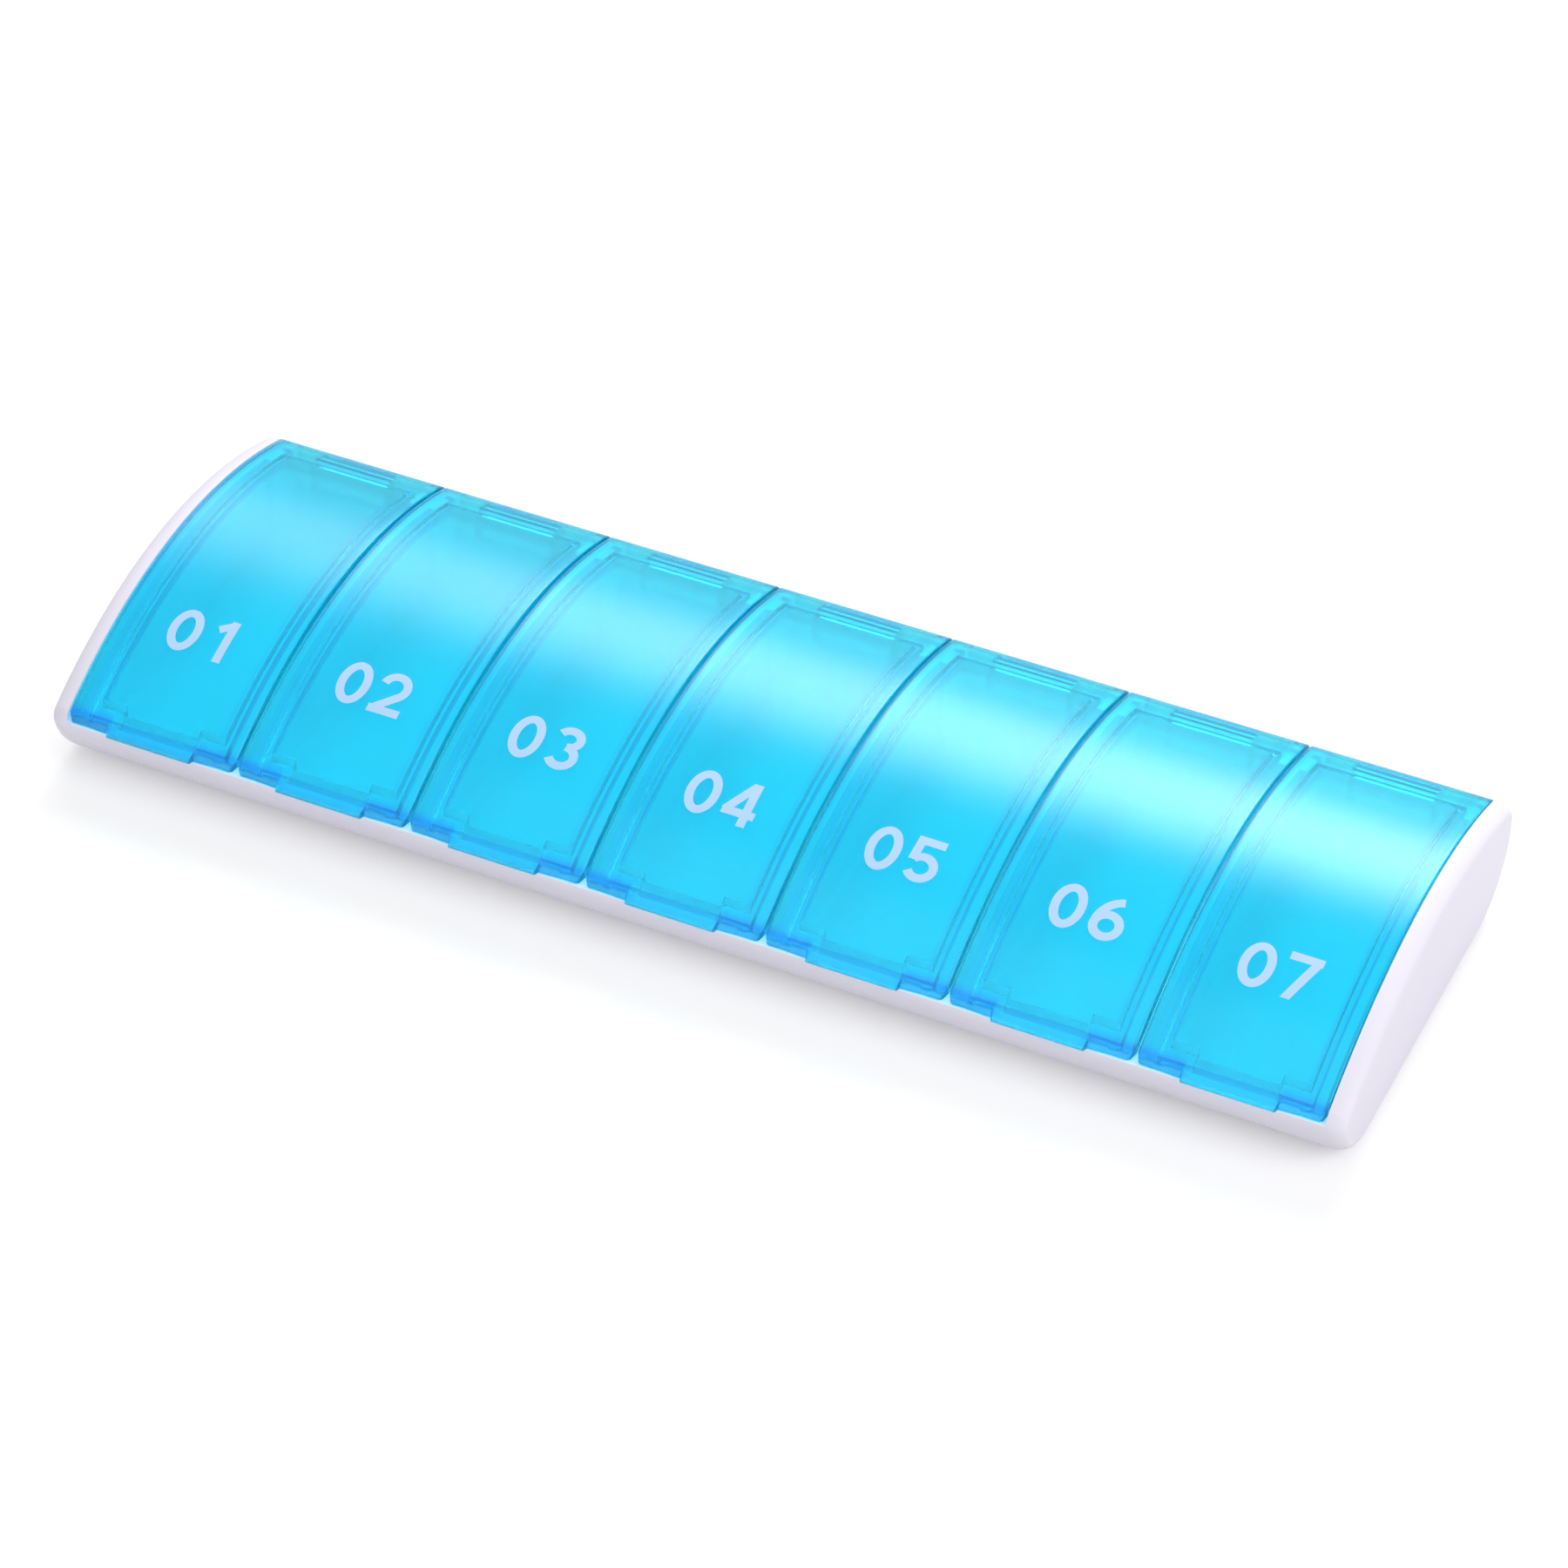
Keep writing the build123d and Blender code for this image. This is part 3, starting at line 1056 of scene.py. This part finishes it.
@dataclass
class Lid:
    """Arched see-through lid: shell, finger lip, ribs, latch blocks, snap beads and hinge barrel."""

    shape: BoxShape
    finish: LidPlastic
    deep: ThickBlueAndShade = ThickBlueAndShade()
    side_round: float = 0.18
    edge_round: float = 0.5
    toe_round: float = 0.24
    corner_round: float = 1.3
    lip_reach: float = 0.4
    lip_half_width: float = 6.25
    lip_height: float = 0.6
    lip_run: float = 2.0
    lip_round: float = 0.4
    lip_fade: float = 0.3
    rib_thickness: float = 1.0
    rib_depth: float = 1.7
    rib_front_gap: float = 2.5
    rib_round: float = 0.22
    rib_draft: float = 0.04
    latch_depth: float = 2.2
    bead_reach: float = 0.3
    bead_height: float = 0.8
    bead_rise: float = 0.3
    barrel_half_width: float = 5.75
    barrel_edge: float = 0.25
    barrel_ease: float = 0.3
    barrel_step: float = 7.5
    pin_fit: float = 0.05
    hem_turn: float = -38.5
    bead_inset: float = 0.2
    heel_low: float = -150.0
    coarse_step: float = 1.5
    arch_step: float = 0.5
    edge_step: float = 0.3
    bend_step: float = 0.4
    seat_step: float = 0.1
    line_step: float = 0.25
    band_start: float = 1.0
    band_steps: Point = (0.45, 0.15)
    nose_steps: int = 8

    @cached_property
    def under(self) -> float:
        """Radius of the shell's underside."""
        return self.shape.crown_radius - self.shape.lid_thickness

    @cached_property
    def rib_side(self) -> float:
        """X of the outer faces of the side ribs, from the lid's middle."""
        return self.shape.pitch / 2 - self.shape.latch_inset

    @cached_property
    def rib_front(self) -> float:
        """Y of the front faces of the front rib and the latch blocks."""
        return self.shape.front + self.rib_front_gap

    @cached_property
    def rib_back(self) -> float:
        """Y of the back rib's front face."""
        return self.shape.hinge[0] - self.shape.knuckle_radius + self.shape.hinge_gap

    def wall_steps(self, edge: float, inward: float) -> list[float]:
        """Places at which a rib's wall and its rounded foot are sampled, from its edge inwards."""
        rounded = [self.rib_draft + self.rib_round * (1 - math.cos(turn)) for turn in quarter_turn(3)]
        return [edge + inward * step for step in (0.0, *rounded)]

    def rib_share(self, inside: np.ndarray) -> np.ndarray:
        """Share of the full rib depth at a distance inside its edge."""
        bend = np.clip((inside - self.rib_draft) / self.rib_round, 0.0, 1.0)
        foot = 1 - self.rib_round / self.rib_depth * (1 - np.sqrt(1 - (1 - bend) ** 2))
        return np.clip(inside / self.rib_draft, 0.0, 1.0) * foot

    def ribs(self, x: np.ndarray | float, y: np.ndarray) -> np.ndarray:
        """Where the rib loop and the latch blocks stand.

        Args:
            x: Places across the lid, from its middle.
            y: Places from front to back.

        Returns:
            Share of the rib depth at each place.
        """
        across = np.abs(x) + 0 * y
        back = self.rib_back + self.rib_thickness
        within = np.minimum.reduce([self.rib_side - across, y - self.rib_front, back - y])
        inner = self.rib_thickness
        beyond = np.maximum.reduce(
            [across - self.rib_side + inner, self.rib_front + inner - y, y - back + inner]
        )
        latch = np.minimum.reduce(
            [
                self.rib_side - across,
                across - self.rib_side + self.shape.latch_width,
                y - self.rib_front,
                self.rib_front + self.latch_depth - y,
            ]
        )
        loop = self.rib_share(np.minimum(within, beyond))
        return np.maximum(loop, self.rib_share(latch))

    def stations(self) -> list[float]:
        """Places across the lid at which its section is taken, from edge to edge."""
        half, inner = self.shape.half_lid, self.rib_side - self.rib_thickness
        places = [half - self.side_round * (1 - math.cos(turn)) for turn in quarter_turn(4)]
        places += self.wall_steps(self.rib_side, -1.0)
        for edge in (inner, self.rib_side - self.shape.latch_width):
            places += self.wall_steps(edge, 1.0)
        places += [half + self.deep.edge_and_shade_fade[0], self.rib_side + self.line_step, inner - self.line_step]
        fade = np.linspace(-0.5, 0.5, 5) * self.lip_fade
        places += (self.lip_half_width + fade).tolist()
        places += np.arange(0.0, inner, self.coarse_step).tolist()
        return spaced([-place for place in places] + places)

    def depths(self) -> list[float]:
        """Places from front to back at which the arch is sampled."""
        front, back = self.rib_front, self.rib_back + self.rib_thickness
        places = np.arange(front - self.band_start, self.shape.hinge[0], self.arch_step).tolist()
        for edge in (front, self.rib_back):
            places += self.wall_steps(edge, 1.0)
        for edge in (front + self.rib_thickness, front + self.latch_depth, back):
            places += self.wall_steps(edge, -1.0)
        places += [front - step for step in self.band_steps]
        return spaced(places)

    def nose_path(self, x: float) -> np.ndarray:
        """Front of the lid from the arch down to the seat, with the finger lip in the middle.

        Args:
            x: Place across the lid.

        Returns:
            An array of (y, z) points whose last is the sharp front corner.
        """
        shape = self.shape
        low = 180.0 - math.degrees(math.asin((shape.seat_height - shape.nose[1]) / shape.nose_round))
        high = turn_to(shape.crown, shape.nose)
        turns = np.linspace(high, low, self.nose_steps + 1)
        plain = np.array([polar(shape.nose, shape.nose_round, turn) for turn in turns])
        tip = shape.front - self.lip_reach
        crest = (tip, shape.seat_height + self.lip_height)
        root = (tip + self.lip_run, float(shape.arch(tip + self.lip_run, shape.crown_radius)))
        toe = (tip, shape.seat_height)
        bend = soft_corner(root, crest, toe, self.lip_round, self.nose_steps - 2)
        lip = np.concatenate([[root], bend, [toe]])
        half_fade = self.lip_fade / 2
        aside = smooth_step(abs(x), self.lip_half_width - half_fade, self.lip_half_width + half_fade)
        return plain * aside + lip * (1 - aside)

    def section(self, x: float) -> np.ndarray:
        """Closed section of the lid at a place across it, counter-clockwise.

        Args:
            x: Place across the lid, from its middle.

        Returns:
            An array of (y, z) points, equally many at every x.
        """
        shape = self.shape
        hinge = shape.hinge
        depths = np.array(self.depths())
        seat_back = shape.arch_meets(shape.seat_height, self.under)
        inner_end = polar(shape.crown, self.under, shape.knuckle_turn)[0]
        inner_y = depths[(depths > seat_back + self.seat_step) & (depths < inner_end - self.edge_step)]
        top, bottom = shape.arch(inner_y, self.under), shape.arch(inner_y, self.under - self.rib_depth)
        inner = np.column_stack((inner_y, top + (bottom - top) * self.ribs(x, inner_y)))
        inner_radius = shape.knuckle_radius - shape.lid_thickness
        trim = self.edge_round
        inner_hem = self.hem_turn + math.degrees(trim / inner_radius)
        outer_hem = self.hem_turn + math.degrees(trim / shape.knuckle_radius)
        inside = polar(hinge, inner_radius, self.hem_turn)
        outside = polar(hinge, shape.knuckle_radius, self.hem_turn)
        outer_end = polar(shape.crown, shape.crown_radius, shape.knuckle_turn)[0]
        nose = self.nose_path(x)
        outer_start = shape.front - self.lip_reach + self.lip_run + self.edge_step
        count = round((outer_end - outer_start) / self.arch_step)
        outer_y = np.linspace(outer_end - self.bend_step, outer_start, count)
        outer = np.column_stack((outer_y, shape.arch(outer_y, shape.crown_radius)))
        corner = nose[-1]
        seat = (seat_back, shape.seat_height)
        aside = float(smooth_step(abs(x), self.lip_half_width + self.lip_fade, self.rib_side))
        toe = self.toe_round + (self.edge_round - self.toe_round) * aside
        return np.concatenate(
            [
                [seat],
                inner,
                arc(hinge, inner_radius, shape.knuckle_turn, inner_hem, step=8.0),
                soft_corner(polar(hinge, inner_radius, inner_hem), inside, outside, trim)[1:],
                soft_corner(inside, outside, polar(hinge, shape.knuckle_radius, outer_hem), trim)[:-1],
                arc(hinge, shape.knuckle_radius, outer_hem, shape.knuckle_turn, step=5.0),
                outer,
                nose[:-2],
                soft_corner(nose[-2], corner, seat, toe, steps=3),
            ]
        )

    def shell(self) -> bpy.types.Mesh:
        """Shell with its lip, ribs and latch blocks, its side edges rounded over."""
        half = self.shape.half_lid
        front = self.nose_path(half)[-1][0]
        steady = self.lip_half_width + self.lip_fade
        rings = []
        for x in self.stations():
            section = self.section(x)
            short = half - abs(x)
            if short < self.side_round:
                inset = self.side_round - math.sqrt(self.side_round**2 - (self.side_round - short) ** 2)
                section = drawn_in(section, inset)
            ring = at_x(section, x)
            back_off = np.clip(self.corner_round - (section[:, 0] - front), 0.0, self.corner_round)
            pulled = self.corner_round - np.sqrt(self.corner_round**2 - back_off**2)
            ring[:, 0] -= math.copysign(max(abs(x) - steady, 0.0) / (half - steady), x) * pulled
            rings.append(ring)
        return loft(rings)

    def barrel(self) -> bpy.types.Mesh:
        """Hinge barrel in the middle of the back edge, bored for the pin."""
        outer = self.shape.knuckle_radius - self.shape.lid_thickness / 2
        bore = self.shape.pin_radius + self.pin_fit
        half, edge = self.barrel_half_width, self.barrel_edge
        ease = edge * self.barrel_ease
        profile = [(-half, bore), (-half, outer - edge)]
        profile += [(-half + ease, outer - ease), (-half + edge, outer)]
        profile += [(-x, radius) for x, radius in reversed(profile)]
        turns = np.arange(0.0, 360.0, self.barrel_step)
        points = [(x, *polar(self.shape.hinge, radius, turn)) for x, radius in profile for turn in turns]
        mesh = bpy.data.meshes.new("barrel")
        mesh.from_pydata(points, [], bands(len(profile), len(turns), closed=True))
        return mesh

    def bead(self, side: float) -> bpy.types.Mesh:
        """Snap bead on the front of one latch block.

        Args:
            side: -1 for the left block, 1 for the right.

        Returns:
            A closed mesh.
        """
        low = float(self.shape.arch(self.rib_front, self.under - self.rib_depth)) + self.bead_rise
        root = self.rib_front + self.rib_thickness / 2
        middle = (self.rib_front + 2 * self.rib_draft, low + self.bead_height / 2)
        size = (self.bead_reach + 2 * self.rib_draft, self.bead_height / 2)
        rounded = arc((0.0, 0.0), 1.0, 90.0, 270.0, step=20.0) * size + middle
        ring = np.concatenate([[(root, low), (root, low + self.bead_height)], rounded])
        steps = (self.bead_inset, self.shape.latch_width - self.bead_inset)
        ends = sorted(side * (self.rib_side - step) for step in steps)
        return rounded_bar(ring, *ends)

    def heel(self, side: float) -> bpy.types.Mesh:
        """Tool that clears one back corner of the lid for a pin ear.

        Args:
            side: -1 for the left corner, 1 for the right.

        Returns:
            A closed mesh.
        """
        hinge = self.shape.hinge
        wide = self.shape.swing_radius
        ring = np.concatenate([[hinge], arc(hinge, wide, self.heel_low, self.shape.heel_turn, step=6.0)])
        inner = self.shape.pitch / 2 - self.shape.ear_half_width - self.shape.hinge_gap
        return rounded_bar(ring, *sorted((side * inner, side * self.shape.pitch / 2)))

    def thick_blue_and_shade(self, x: np.ndarray, y: np.ndarray) -> np.ndarray:
        """How much deeper the blue looks where the moulding is thick, with painted shade beside the finger
        lip and along the seams.

        Args:
            x: Places across the lid, from its middle.
            y: Places from front to back.

        Returns:
            Share of the deep colour at each place.
        """
        deep, across = self.deep, np.abs(x)
        front, brim, hinge = self.rib_front, self.shape.front, self.shape.hinge[0]
        half, inner = self.shape.half_lid, self.rib_side - self.rib_thickness
        lines = [1 - past(np.abs(across - place), 0.0, deep.line_fade) for place in (inner, self.rib_side)]
        strip = deep.strip * past(across, inner, deep.strip_fade)
        ribs = strip + deep.line * np.maximum(*lines) * past(y, front, deep.line_start)
        band = deep.band * (1 - past(y, front, deep.band_fade))
        lip = deep.lip * (1 - past(y, brim, deep.lip_fade))
        beside_lip = past(across, self.lip_half_width, deep.beside_lip)
        # painted shade beside the finger lip, laid over the deeper blue of the solid nose
        thick_and_shade_by_lip = deep.thick_and_shade_by_lip * beside_lip * (1 - past(y, front, deep.thick_and_shade_by_lip_fade))
        # side edges: deeper blue seen edge on, plus painted shade at the seams, stronger towards the back
        rise = deep.edge_and_shade_back - deep.edge_and_shade_front
        edge = deep.edge_and_shade_front + rise * past(y, front, deep.edge_and_shade_rise)
        side = edge * past(across, half, deep.edge_and_shade_fade)
        over_barrel = (across < self.barrel_half_width) * past(y, hinge, deep.barrel_fade)
        barrel = deep.barrel * over_barrel
        return np.clip(np.maximum.reduce([ribs, band, lip, thick_and_shade_by_lip, side, barrel]), 0.0, 1.0)

    def master(self) -> bpy.types.Object:
        """One lid in the middle of the row, dressed, for the days to copy."""
        lid = new_object("lid_master", self.shell())
        for side in (-1.0, 1.0):
            combine(lid, self.heel(side), Joining.CUT)
        combine(lid, self.barrel(), Joining.FUSE)
        combine(lid, joined([self.bead(-1.0), self.bead(1.0)]), Joining.FUSE)
        polish(lid)
        mesh = lid.data
        places = np.zeros(len(mesh.vertices) * 3, np.float32)
        mesh.vertices.foreach_get("co", places)
        places = places.reshape(-1, 3) / MM
        # per-point share of deep blue: thick plastic, plus painted shade beside the finger lip and along
        # the seams
        shade = mesh.attributes.new(self.finish.thick_and_shade_name, "FLOAT", "POINT")
        shade.data.foreach_set("value", self.thick_blue_and_shade(places[:, 0], places[:, 1]).astype(np.float32))
        coat(lid, self.finish.material)
        return lid

    def build(self) -> list[bpy.types.Object]:
        """Builds the seven lids and hangs each on its own body.

        Returns:
            The finished pieces, first day first.
        """
        master = self.master()
        lids = []
        for day, middle in enumerate(self.shape.middles, start=1):
            mesh = master.data.copy()
            mesh.transform(Matrix.Translation((middle * MM, 0.0, 0.0)))
            lid = new_object(f"day_{day}_lid_moulding", mesh)
            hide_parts(f"day_{day}_lid")
            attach(lid, f"day_{day}_lid")
            lids.append(lid)
        bpy.data.objects.remove(master)
        return lids


def ribbon(line: np.ndarray, width: float) -> list[np.ndarray]:
    """Draws a pen stroke along a line.

    Args:
        line: Points of the stroke's centre line.
        width: Width of the pen.

    Returns:
        Four-sided pieces of the stroke, counter-clockwise.
    """
    along = np.gradient(line, axis=0)
    along /= np.linalg.norm(along, axis=1, keepdims=True)
    aside = np.column_stack((-along[:, 1], along[:, 0])) * width / 2
    left, right = line + aside, line - aside
    return [np.array((left[i], right[i], right[i + 1], left[i + 1])) for i in range(len(line) - 1)]


@dataclass
class Numerals:
    """Plain numbers of the days, printed on the lids. Digits are drawn in a cell one high."""

    shape: BoxShape
    finish: Ink
    height: float = 6.6
    setback: float = 17.0
    cell: float = 0.68
    gap: float = 0.15
    pen: float = 0.175
    thickness: float = 0.04
    sink: float = 0.01
    slice_height: float = 0.6

    def bowl(self, centre: Point, size: Point, start: float, end: float) -> np.ndarray:
        """Stroke that bends round a centre, from one turn to another."""
        return arc((0.0, 0.0), 1.0, start, end, step=8.0) * size + centre

    def strokes(self, digit: int) -> list[np.ndarray]:
        """Pen strokes of a digit from 0 to 7.

        Args:
            digit: The digit to draw.

        Returns:
            Centre lines of its strokes.
        """
        edge = self.pen / 2
        right, top, middle = self.cell - edge, 1 - edge, self.cell / 2
        round_size = middle - edge
        waist, belly, bar, stem = 0.53, 0.24, 0.28, right - 0.1
        if digit == 0:
            lines = [self.bowl((middle, 0.5), (round_size, top - 0.5), 90.0, 458.0)]
        elif digit == 1:
            post = middle + edge
            lines = [[(post, 0.0), (post, 1.0)], [(post - 0.27, 0.73), (post, top)]]
        elif digit == 2:
            head = self.bowl((middle, top - round_size), (round_size, round_size), 170.0, -45.0)
            lines = [np.concatenate([head, [(edge, edge)]]), [(0.0, edge), (self.cell, edge)]]
        elif digit == 3:
            head, foot = (top - waist) / 2, (waist - edge) / 2
            lines = [self.bowl((middle, waist + head), (0.9 * round_size, head), 155.0, -90.0)]
            lines.append(self.bowl((middle, edge + foot), (round_size, foot), 90.0, -155.0))
        elif digit == 4:
            lines = [[(stem, 0.0), (stem, 1.0)], [(0.0, bar), (self.cell, bar)]]
            lines.append([(stem, 1.0), (edge - 0.03, bar)])
        elif digit == 5:
            lines = [[(0.1, top), (self.cell - 0.04, top)], [(0.15, 1.0), (0.12, 0.46)]]
            lines.append(self.bowl((middle, edge + belly), (round_size, belly), 140.0, -150.0))
        elif digit == 6:
            lines = [self.bowl((middle, edge + belly), (round_size, belly), 0.0, 368.0)]
            sweep = (right - edge, top - edge - belly)
            lines.append(self.bowl((right, edge + belly), sweep, 180.0, 100.0))
        else:
            lines = [[(0.02, top), (self.cell, top)], [(right, top), (0.2, -0.1)]]
        return [np.array(line, float) for line in lines]

    def flat_glyphs(self, words: str) -> bmesh.types.BMesh:
        """Flat filled outline of a number, centred, at its printed height.

        Args:
            words: The number to draw.

        Returns:
            A mesh in the plane, sliced so that it can follow the arch.
        """
        step = self.cell + self.gap
        whole = len(words) * step - self.gap
        pieces: list[np.ndarray] = []
        for place, digit in enumerate(words):
            for stroke in self.strokes(int(digit)):
                pieces += [piece + (place * step, 0.0) for piece in ribbon(stroke, self.pen)]
        corners = [Vector(corner) for piece in pieces for corner in piece]
        faces = [tuple(range(4 * index, 4 * index + 4)) for index in range(len(pieces))]
        inside_only, nearness = 1, 1e-4
        filled = delaunay_2d_cdt(corners, [], faces, inside_only, nearness)
        points, _, triangles, _, _, sources = filled
        glyphs = bmesh.new()
        for point in points:
            glyphs.verts.new(((point.x - whole / 2) * self.height, (point.y - 0.5) * self.height, 0.0))
        glyphs.verts.ensure_lookup_table()
        for triangle, source in zip(triangles, sources):
            if source:
                glyphs.faces.new([glyphs.verts[index] for index in triangle])
        loose = [vertex for vertex in glyphs.verts if not vertex.link_faces]
        bmesh.ops.delete(glyphs, geom=loose, context="VERTS")
        half = self.height / 2
        for level in np.linspace(-half, half, round(self.height / self.slice_height) + 1):
            bmesh.ops.bisect_plane(
                glyphs,
                geom=glyphs.verts[:] + glyphs.edges[:] + glyphs.faces[:],
                plane_co=(0.0, level, 0.0),
                plane_no=(0.0, 1.0, 0.0),
                clear_outer=level == half,
                clear_inner=level == -half,
            )
        return glyphs

    def build(self) -> list[bpy.types.Object]:
        """Prints each day's number on its lid.

        Returns:
            The finished pieces, first day first.
        """
        shape = self.shape
        front_turn = turn_to(shape.crown, (shape.front, shape.front_height))
        prints = []
        for day, middle in enumerate(shape.middles, start=1):
            glyphs = self.flat_glyphs(f"{day:02d}")
            raised = bmesh.ops.extrude_face_region(glyphs, geom=glyphs.faces[:])
            tops = {item for item in raised["geom"] if isinstance(item, bmesh.types.BMVert)}
            for vertex in glyphs.verts:
                lift = self.thickness if vertex in tops else -self.sink
                radius = shape.crown_radius + lift
                turn = front_turn - math.degrees((self.setback + vertex.co.y) / shape.crown_radius)
                vertex.co = (middle + vertex.co.x, *polar(shape.crown, radius, turn))
            bmesh.ops.recalc_face_normals(glyphs, faces=glyphs.faces)
            mesh = bpy.data.meshes.new("numeral")
            glyphs.to_mesh(mesh)
            glyphs.free()
            printed = new_object(f"day_{day}_numeral", mesh)
            polish(printed)
            coat(printed, self.finish.material)
            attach(printed, f"day_{day}_lid")
            prints.append(printed)
        return prints


@dataclass
class Pins:
    """The steel pins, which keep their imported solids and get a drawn-wire finish."""

    days: int
    finish: PinSteel

    def dress(self) -> list[bpy.types.Object]:
        """Gives each packed pin its finish.

        Returns:
            The pins.
        """
        pins = [frame["nodes"][f"day_{day}_hinge_pin"] for day in range(1, self.days + 1)]
        for pin in pins:
            coat(pin, self.finish.material)
        return pins


# Studio


@dataclass(frozen=True)
class Softbox:
    """A square-cornered soft lamp aimed at the box."""

    name: str
    place: tuple[float, float, float]
    width: float
    height: float
    glow: float
    fade_left: float = 1.0
    fade_ends: float = 1.0
    rise_start: float = 0.15
    rise_end: float = 0.58
    fall_start: float = 0.60
    aim: tuple[float, float, float] = (0.0, 0.0, 0.01)

    def gradient(self, lamp: bpy.types.AreaLight) -> None:
        """Lets the lamp's face fade towards its left, lower and upper edges."""
        lamp.use_nodes = True
        build = NodeTree(lamp.node_tree)
        place = build.add("ShaderNodeNewGeometry").outputs["Parametric"]
        apart = build.add("ShaderNodeSeparateXYZ", Vector=place).outputs
        strength: bpy.types.NodeSocket | float = 1.0
        for axis, start, end, low in (
            ("X", 1.0, 0.0, self.fade_left),
            ("Y", self.rise_start, self.rise_end, self.fade_ends),
            ("Y", 1.0, self.fall_start, self.fade_ends),
        ):
            ends = (start, end, low, 1.0)
            fade = build.chain("ShaderNodeMapRange", apart[axis], *ends, interpolation_type="SMOOTHSTEP")
            strength = build.chain("ShaderNodeMath", strength, fade, operation="MULTIPLY")
        build.feed(lamp.node_tree.nodes["Emission"].inputs["Strength"], strength)

    def light(self) -> None:
        """Adds the lamp. Its glow is the radiance of its face, where a white wall shows 1."""
        lamp = bpy.data.lights.new(self.name, "AREA")
        lamp.shape = "RECTANGLE"
        lamp.size = self.width
        lamp.size_y = self.height
        lamp.energy = self.glow * math.pi * self.width * self.height
        if min(self.fade_left, self.fade_ends) < 1.0:
            self.gradient(lamp)
        point_at(self.name, lamp, self.place, Vector(self.aim) - Vector(self.place))


@dataclass(frozen=True)
class Camera:
    """Viewpoint of the photograph, in metres and degrees, in the frame of the solids."""

    place: tuple[float, float, float] = (0.23494, -0.49508, 0.48679)
    azimuth: float = 25.221
    elevation: float = 41.197
    focal_pixels: float = 6493.2
    image_pixels: float = 1800.0
    sensor: float = 36.0
    seen: Point = (0.01, 50.0)

    def aim(self) -> None:
        """Adds the camera and makes it the scene's own."""
        data = bpy.data.cameras.new("camera")
        data.sensor_width = self.sensor
        data.lens = self.focal_pixels / self.image_pixels * self.sensor
        data.clip_start, data.clip_end = self.seen
        side, rise = math.radians(self.azimuth), math.radians(self.elevation)
        level = math.cos(rise)
        way = Vector((-math.sin(side) * level, math.cos(side) * level, -math.sin(rise)))
        bpy.context.scene.camera = point_at("camera", data, self.place, way)


@dataclass(frozen=True)
class Studio:
    """Pale floor, white surround and soft lamps."""

    surround: float = 0.55
    floor_size: float = 6.0
    floor_colour: Colour = (0.80, 0.80, 0.80, 1.0)
    floor_lift: float = 0.28
    floor_roughness: float = 0.9
    floor_drop: float = 0.05 * MM
    boxes: tuple[Softbox, ...] = (
        Softbox("back window", (-0.281, 0.662, 0.523), 0.80, 0.75, 8.9, fade_left=0.10, fade_ends=0.06),
        Softbox("overhead", (0.10, -0.45, 1.25), 1.20, 1.20, 0.38),
        Softbox("right key", (0.80, -0.10, 0.62), 0.50, 0.50, 3.8),
        Softbox("front fill", (-0.10, -0.90, 0.30), 1.00, 0.40, 0.60),
    )

    def world(self) -> None:
        """Even surround that shows white behind the box, whatever looks at it."""
        world = bpy.data.worlds.new("surround")
        bpy.context.scene.world = world
        world.use_nodes = True
        build = NodeTree(world.node_tree)
        path = build.add("ShaderNodeLightPath").outputs
        rays = path["Is Camera Ray"], path["Is Transmission Ray"]
        seen = build.chain("ShaderNodeMath", *rays, operation="MAXIMUM")
        level = build.chain("ShaderNodeMapRange", seen, 0.0, 1.0, self.surround, 1.0)
        shine = world.node_tree.nodes["Background"]
        shine.inputs["Color"].default_value = (1.0, 1.0, 1.0, 1.0)
        build.feed(shine.inputs["Strength"], level)

    def floor(self) -> bpy.types.Object:
        """White floor that keeps the box's shadow."""
        half = self.floor_size / 2
        mesh = bpy.data.meshes.new("floor")
        corners = [(-half, -half), (half, -half), (half, half), (-half, half)]
        mesh.from_pydata([(x, y, -self.floor_drop) for x, y in corners], [], [(0, 1, 2, 3)])
        thing = new_object("floor", mesh)
        material, build, shader = new_material("floor paper")
        shader.inputs["Base Color"].default_value = self.floor_colour
        shader.inputs["Roughness"].default_value = self.floor_roughness
        shader.inputs["Specular IOR Level"].default_value = 0.0
        paper = shader.outputs[0]
        glow = build.add("ShaderNodeEmission", Strength=self.floor_lift).outputs[0]
        lifted = build.chain("ShaderNodeAddShader", paper, glow)
        camera_ray = build.add("ShaderNodeLightPath").outputs["Is Camera Ray"]
        choice = build.chain("ShaderNodeMixShader", camera_ray, paper, lifted)
        build.feed(material.node_tree.nodes["Material Output"].inputs["Surface"], choice)
        coat(thing, material)
        return thing

    def set_up(self) -> None:
        """Adds the surround, the floor and the lamps."""
        bpy.context.scene.view_settings.view_transform = "Standard"
        self.world()
        self.floor()
        for box in self.boxes:
            box.light()


def main() -> None:
    """Builds the box piece by piece, then the studio."""
    logging.basicConfig(level=logging.INFO, format="%(name)s: %(message)s")
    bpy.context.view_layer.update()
    shape = BoxShape.from_frame(lip_reach=Lid.lip_reach)
    rows = RowTree()
    pieces = [Tray(shape, TrayPlastic()).build(rows)]
    pieces += Lid(shape, LidPlastic()).build()
    pieces += Numerals(shape, Ink()).build()
    pieces += Pins(shape.days, PinSteel()).dress()
    for piece in pieces:
        LOG.info("%s: %d faces", piece.name, len(piece.data.polygons))
    Camera().aim()
    Studio().set_up()


if __name__ == "__main__":
    main()
